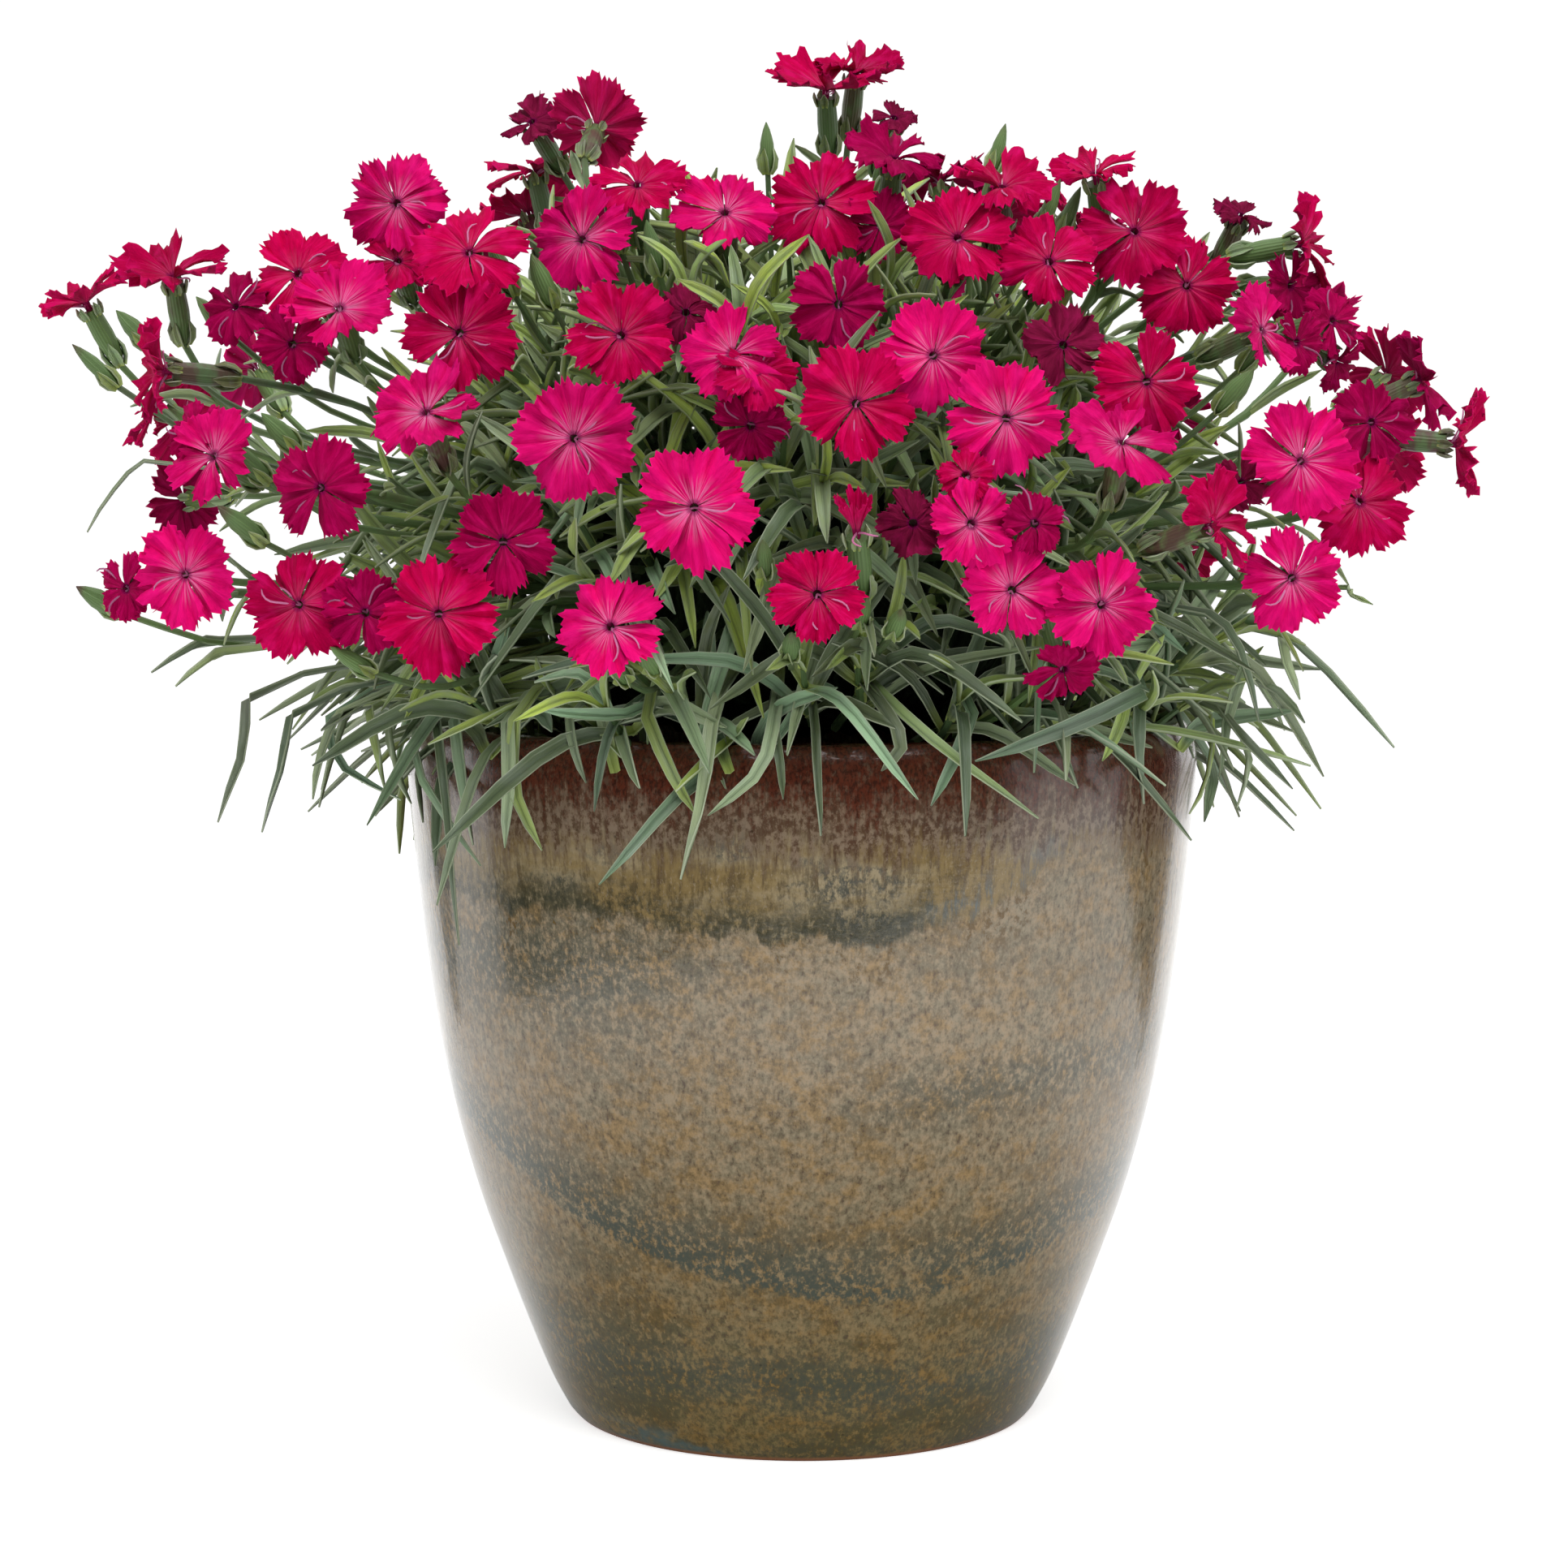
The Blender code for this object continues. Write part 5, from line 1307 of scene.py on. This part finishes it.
class DIANTHUS_OT_stalks(bpy.types.Operator):
    """Grow the flower stems with their calyces, bracts, small leaves and closed buds"""

    bl_idname = "dianthus.stalks"
    bl_label = "Stems, calyces and buds"

    def execute(self, context):
        blooms = place_blooms()
        petals = [bloom.petals for bloom in blooms]
        stem, calyx = tube_blank(TUBE_SIDES, STEM_ROWS), tube_blank(12, 7)
        bract, leaf = sheet_blank(2, 3), sheet_blank(2, LEAF_ROWS)
        stems, leaves = Heap("tone", "purple"), Heap("tone", "young", "purple", "back")
        draw = random.Random(SEED + 1)
        joints = [STEM_RADIUS * (1.0 if row % 4 else 1.35) for row in range(STEM_ROWS + 1)]
        for bloom in blooms:
            others = [tree for tree in petals if tree is not bloom.petals]
            path = smooth_path(way_down(bloom, others), STEM_ROWS + 1)
            tone, purple = draw.random(), max(0.0, draw.uniform(-0.5, 1.1))
            stems.tube(stem, path, joints, tone=tone, purple=purple * 0.3)
            self.calyx(stems, leaves, calyx, bract, bloom, tone, purple)
            self.stem_leaves(leaves, leaf, path, petals, draw)
        for spot in BUDS:
            place = bud_place(*spot, petals)
            if place:
                middle, way, path = place
                path = smooth_path(path, STEM_ROWS + 1)
                stems.tube(stem, path, [STEM_RADIUS * 0.85] * len(path), tone=draw.random(), purple=0.2)
                self.bud(stems, leaves, calyx, bract, middle, way, draw)
        plant = context.scene.dianthus_plant
        dress(stems.build("stems_and_calyces", stem_material()), "foliage")
        dress(leaves.build("bracts_and_stem_leaves", leaf_material(plant), 70.0), "foliage")
        return {"FINISHED"}

    def calyx(self, stems, leaves, tube, bract, bloom, tone, purple):
        """The calyx tube of a bloom with its five teeth and the bracts round its foot."""
        top, foot = bloom.calyx_ends()
        shares = np.linspace(0.0, 1.0, tube.rows + 1)
        path = [foot.lerp(top + bloom.face * 0.8, share) for share in shares]
        stems.tube(tube, path, profile(CALYX_RADII, shares), tone=tone, purple=purple)
        turns = [bloom.spin + (number + 0.5) * math.tau / PETALS for number in range(PETALS)]
        teeth = scales(top, bloom.face, turns, (2.35, -1.2), ((0.35, 1.9), (1.0, 3.8)))
        bracts = scales(foot, bloom.face, quarter_turns(1), (1.1, -0.4), ((1.35, 3.0), (1.5, 7.0)))
        for width, group in ((2.3, teeth), (3.0, bracts)):
            for spots, flat in group:
                marks = {"tone": tone, "young": 0.25, "purple": purple * 0.7}
                leaves.leaf(bract, spots, width, 0.3, outward=flat, **marks)

    def stem_leaves(self, leaves, leaf, path, petals, draw):
        """Pairs of small leaves at the joints of a flower stem."""
        for joint in (4, 8):
            spot = path[joint]
            way = spot - CORE
            if way.length < (core_point(way, 1.0) - CORE).length:
                continue
            along = headings(path)[joint]
            pair = spoke(across(along), draw.uniform(0, math.tau))
            for out in (pair, -pair):
                length = draw.uniform(12.0, 24.0)
                lean = (along + out * draw.uniform(0.45, 0.9)).normalized()
                tip = spot + lean * length + out * (0.22 * length) - UP * (0.12 * length)
                spots = [spot, spot + lean * (0.5 * length), tip]
                if not crosses(spots, 1.2, petals):
                    leaves.leaf(
                        leaf, spots, draw.uniform(2.2, 3.2), 0.35, draw.uniform(-0.6, 0.6),
                        tone=draw.random(), young=draw.uniform(0.1, 0.7), back=1.0 - leaf.points[:, 2],
                    )

    def bud(self, stems, leaves, calyx, bract, middle, way, draw):
        """A closed bud: pointed tube with a petal tip just showing, bracts round its foot."""
        length, fat = draw.uniform(12.0, 15.0), draw.uniform(1.7, 2.5)
        foot = middle - way * 6.0
        shares = np.linspace(0.0, 1.0, calyx.rows + 1)
        table = [
            (0.0, 0.7), (0.12, 0.85 * fat), (0.35, fat),
            (0.6, 0.95 * fat), (0.85, 0.5 * fat), (1.0, 0.12),
        ]
        path = [foot + way * (length * share) for share in shares]
        purple = np.clip((calyx.points[:, 2] - 0.72) * 4.0, 0.0, 1.0) * draw.uniform(0.0, 1.0)
        stems.tube(calyx, path, profile(table, shares), tone=draw.random() * 0.5, purple=purple)
        rest = ((fat * 0.62, 2.6), (fat * 0.7, 6.4))
        for spots, flat in scales(foot, way, quarter_turns(0), (0.6, -0.5), rest):
            leaves.leaf(bract, spots, 2.6, 0.3, outward=flat, tone=draw.random(), young=0.5, purple=0.15)


class Thicket:
    """The leaves and shoots in the making, with the random draws that they share."""

    def __init__(self, plant):
        self.blank, self.stem = sheet_blank(2, LEAF_ROWS), tube_blank(5, 4)
        self.leaves, self.twigs = Heap("tone", "young", "purple", "back"), Heap("tone", "purple")
        self.petals = [bloom.petals for bloom in place_blooms()]
        self.draw = random.Random(SEED + 2)
        self.width, self.length = plant.leaf_width / MM, plant.leaf_length / MM

    def leaf(self, path, width, young):
        draw, back = self.draw, 1.0 - self.blank.points[:, 2]
        self.leaves.leaf(
            self.blank, path, width, 0.4, draw.uniform(-0.9, 0.9),
            tone=draw.random(), young=young * draw.uniform(0.4, 1.0), back=back,
        )

    def shoot(self, start, way):
        """One shoot: a short stem with crossed pairs of arching leaves and an upright tip."""
        draw = self.draw
        swing = Vector((draw.uniform(-1, 1), draw.uniform(-1, 1), draw.uniform(-0.2, 1))) * 0.4
        lean = (way + swing + UP * 0.35).normalized()
        length = draw.uniform(16.0, 40.0)
        bend = UP * (0.15 * length) + way * (0.1 * length)
        path = smooth_path([start, start + lean * (0.5 * length), start + lean * length + bend], 5)
        if crosses(path, 1.5, self.petals):
            return
        self.twigs.tube(self.stem, path, [1.2, 1.1, 1.0, 0.9, 0.6], tone=draw.random(), purple=0.0)
        turn = draw.uniform(0, math.tau)
        bright = (turn * 97.0) % 1.0 < 0.28
        for spot in path[1:]:
            turn += math.pi / 2 + draw.uniform(-0.3, 0.3)
            last = spot is path[-1]
            pair = spoke(across(lean), turn)
            for out in (pair, -pair):
                size = self.length * draw.uniform(0.65, 1.15) * (0.62 if last else 1.0)
                open_by = draw.uniform(0.2, 0.45) if last else draw.uniform(0.6, 1.3)
                first = (lean + out * open_by).normalized()
                low = 1.0 if way.z < 0.15 else 0.6
                droop = UP * (-size * draw.uniform(0.05, 0.5) * (0.3 if last else low))
                middle = spot + first * (0.5 * size) - droop * 0.12
                tip = spot + first * size + out * (0.2 * size) + droop
                spots = [clear_of_pot(point, 2.0) for point in (spot, middle, tip)]
                hangs = tip.z < RIM_TOP - 12.0 and tip.y < 0.0
                if crosses(spots, 1.6, self.petals) or (hangs and draw.random() < 0.65):
                    continue
                width = self.width * draw.uniform(0.75, 1.1) * (0.8 if last else 1.0)
                self.leaf(spots, width, 1.0 if last or bright else 0.12 + 0.6 * max(way.z, 0.0))


class DIANTHUS_OT_leaves(bpy.types.Operator):
    """Cover the bush with leafy shoots and let the long leaves hang over the rim"""

    bl_idname = "dianthus.leaves"
    bl_label = "Leaves"

    def execute(self, context):
        plant = context.scene.dianthus_plant
        thicket = Thicket(plant)
        draw = thicket.draw
        for index, (width, *points) in enumerate(LEAVES):
            path = [on_cylinder(*point) for point in points]
            path = [clear_of_pot(point, 1.6) for point in (core_point(path[0] - CORE, ROOT_SHARE), *path)]
            thicket.leaf(path, width * 0.95, 1.0 if index % 4 == 2 else 0.1)
        skirt = random.Random(SEED)
        for index in range(SKIRT_LEAVES):
            path, width = self.skirt_leaf(index, skirt)
            if not crosses(path, 1.5, thicket.petals):
                thicket.leaf(path, width, 0.2)
        for index in range(plant.shoots):
            way = heading(index * GOLDEN_TURN, math.asin(-0.2 + 1.14 * (index + 0.5) / plant.shoots))
            thicket.shoot(core_point(way, draw.uniform(0.72, 0.92)), way)
        for index in range(plant.rim_shoots):
            way = heading(math.tau * (index + draw.uniform(0.1, 0.9)) / plant.rim_shoots)
            thicket.shoot(way * draw.uniform(60.0, 82.0) + UP * draw.uniform(166.0, 184.0), way)
        dress(thicket.leaves.build("leaves", leaf_material(plant), 70.0), "foliage")
        dress(thicket.twigs.build("shoots", stem_material()), "foliage")
        self.heart()
        return {"FINISHED"}

    def skirt_leaf(self, index, draw):
        """Path and width of a leaf that bends over the rim behind the pot."""
        azimuth = math.radians(-14.0 + 208.0 * (index + draw.uniform(0.2, 0.8)) / SKIRT_LEAVES)
        way, out = heading(azimuth), heading(azimuth + draw.uniform(-0.25, 0.25))
        reach, fall = draw.uniform(106, 132), draw.uniform(5, 45)
        start = core_point(way + UP * draw.uniform(-0.05, 0.3), ROOT_SHARE)
        over = way * 97.0 + UP * draw.uniform(189, 206)
        bend = out * (reach * 0.93) + UP * (over.z - 0.25 * fall - 4.0)
        return [start, over, bend, out * reach + UP * (over.z - fall)], draw.uniform(3.2, 4.4)

    def heart(self):
        """The dense middle, coloured near black as painted shade inside the bush, with the crown that
        stands in the soil.
        """
        deselect()
        bpy.ops.mesh.primitive_ico_sphere_add(subdivisions=5, radius=1.0)
        item = bpy.context.active_object
        item.name = item.data.name = "heart"
        for vert in item.data.vertices:
            way = vert.co.normalized()
            rough = noise.noise(way * 9.0) * 5.0 + noise.noise(way * 30.0) * 2.5
            vert.co = (core_point(way, 0.86) + way * (rough - 2.0)) * MM
        bpy.ops.object.shade_smooth()
        item.data.materials.append(heart_shade_material())
        dress(item, "foliage")


# what only reflections see, through stands of (angle, distance) in degrees and metres:
# stands, strength and height of the light cards
CARDS = {
    "card_back": ([(-117.5, 0.845), (117.5, 0.845)], 1.4, 1.6),
    "card_soft_right": ([(62.0, 0.8), (110.0, 0.8)], 1.3, 1.6),
    "card_soft_left": ([(-84.0, 0.8), (-116.0, 0.8)], 1.7, 1.6),
    "card_dark_front": (
        [(-92.0, 0.42), (-60.0, 0.46), (-20.0, 0.46), (15.0, 0.47), (40.0, 0.56), (58.0, 0.7)], 0.0, 0.6
    ),
}
# the height of the ragged foot of the black flags at each angle
FLAGS = {
    "card_dark_right": [(84.0, 0.125), (94.0, 0.095), (102.0, 0.071), (112.0, 0.057), (118.5, 0.028)],
    "card_dark_left": [(-118.5, 0.04), (-113.0, 0.06), (-109.0, 0.085), (-106.0, 0.12)],
}
FLAG_DISTANCE = 0.25
FLAG_STEP = 0.8
FLAG_RAGGED = 0.011


class DIANTHUS_OT_stage(bpy.types.Operator):
    """Set the white studio: floor, surroundings, soft key, dark cards and the camera"""

    bl_idname = "dianthus.stage"
    bl_label = "Studio"

    def execute(self, context):
        settings = context.scene.dianthus_stage
        self.floor(settings.floor_glow)
        self.surroundings(settings.ambient)
        for name, (stands, strength, height) in CARDS.items():
            self.card(name, stands, strength, height)
        for name, table in FLAGS.items():
            draw = random.Random(name)
            stands = []
            for angle in np.arange(table[0][0], table[-1][0], FLAG_STEP):
                low = profile(table, angle) + draw.uniform(-FLAG_RAGGED, FLAG_RAGGED)
                stands.append((angle, FLAG_DISTANCE, low))
            self.card(name, stands, 0.0, 0.5)
        self.lamp("key", Vector((0.2, -0.95, 1.6)), 1.4, settings.key_power)
        for side in (-1.0, 1.0):
            self.lamp("fill", Vector((1.3 * side, -0.55, 0.75)), 0.9, settings.fill_power)
        deselect()
        bpy.ops.object.camera_add(location=CAMERA * MM, rotation=(math.pi / 2 - PITCH, 0, 0))
        camera = context.scene.camera = bpy.context.active_object
        camera.data.sensor_width = SENSOR
        camera.data.lens = FOCAL * SENSOR / FRAME_SIZE
        context.scene.view_settings.view_transform = "Standard"
        return {"FINISHED"}

    def floor(self, glow):
        """A pale floor that gives matt surfaces and reflections less light than the camera, with a painted
        shadow in front of the pot that only reflections see.
        """
        deselect()
        bpy.ops.mesh.primitive_circle_add(vertices=96, radius=14.0, fill_type="NGON")
        floor = bpy.context.active_object
        floor.name = "studio_floor"
        paint = Paint("studio_floor", 0.9, 0.0)
        matt, glossy = [
            paint.node("ShaderNodeLightPath", output=f"Is {kind} Ray") for kind in ("Diffuse", "Glossy")
        ]
        x, y, _ = paint.parts(paint.place)
        # painted shadow: a dark patch on the floor in front of the pot, seen only by reflections, dims
        # both its glow and its colour there
        near = (((x * 0.6) ** 2.0 + (y + 0.13) ** 2.0) ** 0.5).between(0.21, 0.06) * glossy
        less = matt * 0.75 + glossy * 0.25 + near * 0.75
        shine = paint.mix((1.0, 1.0, 1.0), (0.0, 0.0, 0.0), less)
        paint.feed(paint.shader, {"Emission Color": shine, "Emission Strength": glow})
        floor.data.materials.append(paint.finish(paint.mix((0.9, 0.9, 0.9), (0.25, 0.25, 0.25), near)))

    def surroundings(self, ambient):
        """White surroundings, weaker for what matt surfaces receive."""
        world = bpy.context.scene.world = bpy.data.worlds.new("studio")
        world.use_nodes = True
        tree = world.node_tree
        back = tree.nodes["Background"].inputs
        back["Color"].default_value = (1.0, 1.0, 1.0, 1.0)
        path, scale = tree.nodes.new("ShaderNodeLightPath"), tree.nodes.new("ShaderNodeMapRange")
        scale.inputs["To Min"].default_value = 1.05
        scale.inputs["To Max"].default_value = ambient
        tree.links.new(path.outputs["Is Diffuse Ray"], scale.inputs["Value"])
        tree.links.new(scale.outputs["Result"], back["Strength"])

    def card(self, name, stands, strength, height):
        """A folded upright card through (angle, distance) or (angle, distance, foot) stands."""
        deselect()
        bpy.ops.mesh.primitive_grid_add(x_subdivisions=len(stands) - 1, y_subdivisions=1, size=1.0)
        card = bpy.context.active_object
        card.name = name
        for index, vert in enumerate(card.data.vertices):
            row, column = divmod(index, len(stands))
            angle, distance, foot = (*stands[column], 0.0)[:3]
            turn = math.radians(angle)
            vert.co = (math.sin(turn) * distance, -math.cos(turn) * distance, height if row else foot)
        paint = Paint(name, 1.0, 0.0)
        paint.feed(paint.shader, {"Emission Color": (1.0, 1.0, 1.0), "Emission Strength": strength})
        card.data.materials.append(paint.finish((0.0, 0.0, 0.0)))
        for kind in ("camera", "diffuse", "shadow", "transmission"):
            setattr(card, "visible_" + kind, False)

    def lamp(self, name, place, size, power):
        """A round soft lamp that looks at the pot, of which reflections see only the key."""
        light = bpy.data.lights.new(name, "AREA")
        light.shape, light.size, light.energy = "DISK", size, power
        lamp = bpy.data.objects.new(name, light)
        lamp.location = place
        lamp.rotation_euler = (UP * 0.16 - place).to_track_quat("-Z", "Y").to_euler()
        lamp.visible_camera = False
        lamp.visible_glossy = name == "key"
        bpy.context.scene.collection.objects.link(lamp)


class DIANTHUS_PT_panel(bpy.types.Panel):
    """The dianthus in the sidebar: its settings and the steps that build it"""

    bl_idname = "DIANTHUS_PT_panel"
    bl_label = "Potted dianthus"
    bl_space_type = "VIEW_3D"
    bl_region_type = "UI"
    bl_category = "Dianthus"

    def draw(self, context):
        for name in GROUPS:
            group = getattr(context.scene, name)
            box = self.layout.box()
            for setting in group.bl_rna.properties.keys():
                if setting not in ("rna_type", "name"):
                    box.prop(group, setting)
        for step in STEPS:
            self.layout.operator(step.bl_idname)


GROUPS = {
    "dianthus_planter": DianthusPlanter,
    "dianthus_plant": DianthusPlant,
    "dianthus_stage": DianthusStage,
}
STEPS = (
    DIANTHUS_OT_stage, DIANTHUS_OT_pot, DIANTHUS_OT_soil, DIANTHUS_OT_blooms,
    DIANTHUS_OT_stalks, DIANTHUS_OT_leaves,
)


def register():
    for kind in (*GROUPS.values(), *STEPS, DIANTHUS_PT_panel):
        bpy.utils.register_class(kind)
    for name, kind in GROUPS.items():
        setattr(bpy.types.Scene, name, PointerProperty(type=kind))


def unregister():
    for name in GROUPS:
        delattr(bpy.types.Scene, name)
    for kind in (DIANTHUS_PT_panel, *reversed(STEPS), *reversed(GROUPS.values())):
        bpy.utils.unregister_class(kind)


def main():
    register()
    bpy.ops.dianthus.stage()
    bpy.ops.dianthus.pot()
    bpy.ops.dianthus.soil()
    bpy.ops.dianthus.blooms()
    bpy.ops.dianthus.stalks()
    bpy.ops.dianthus.leaves()


if __name__ == "__main__":
    main()
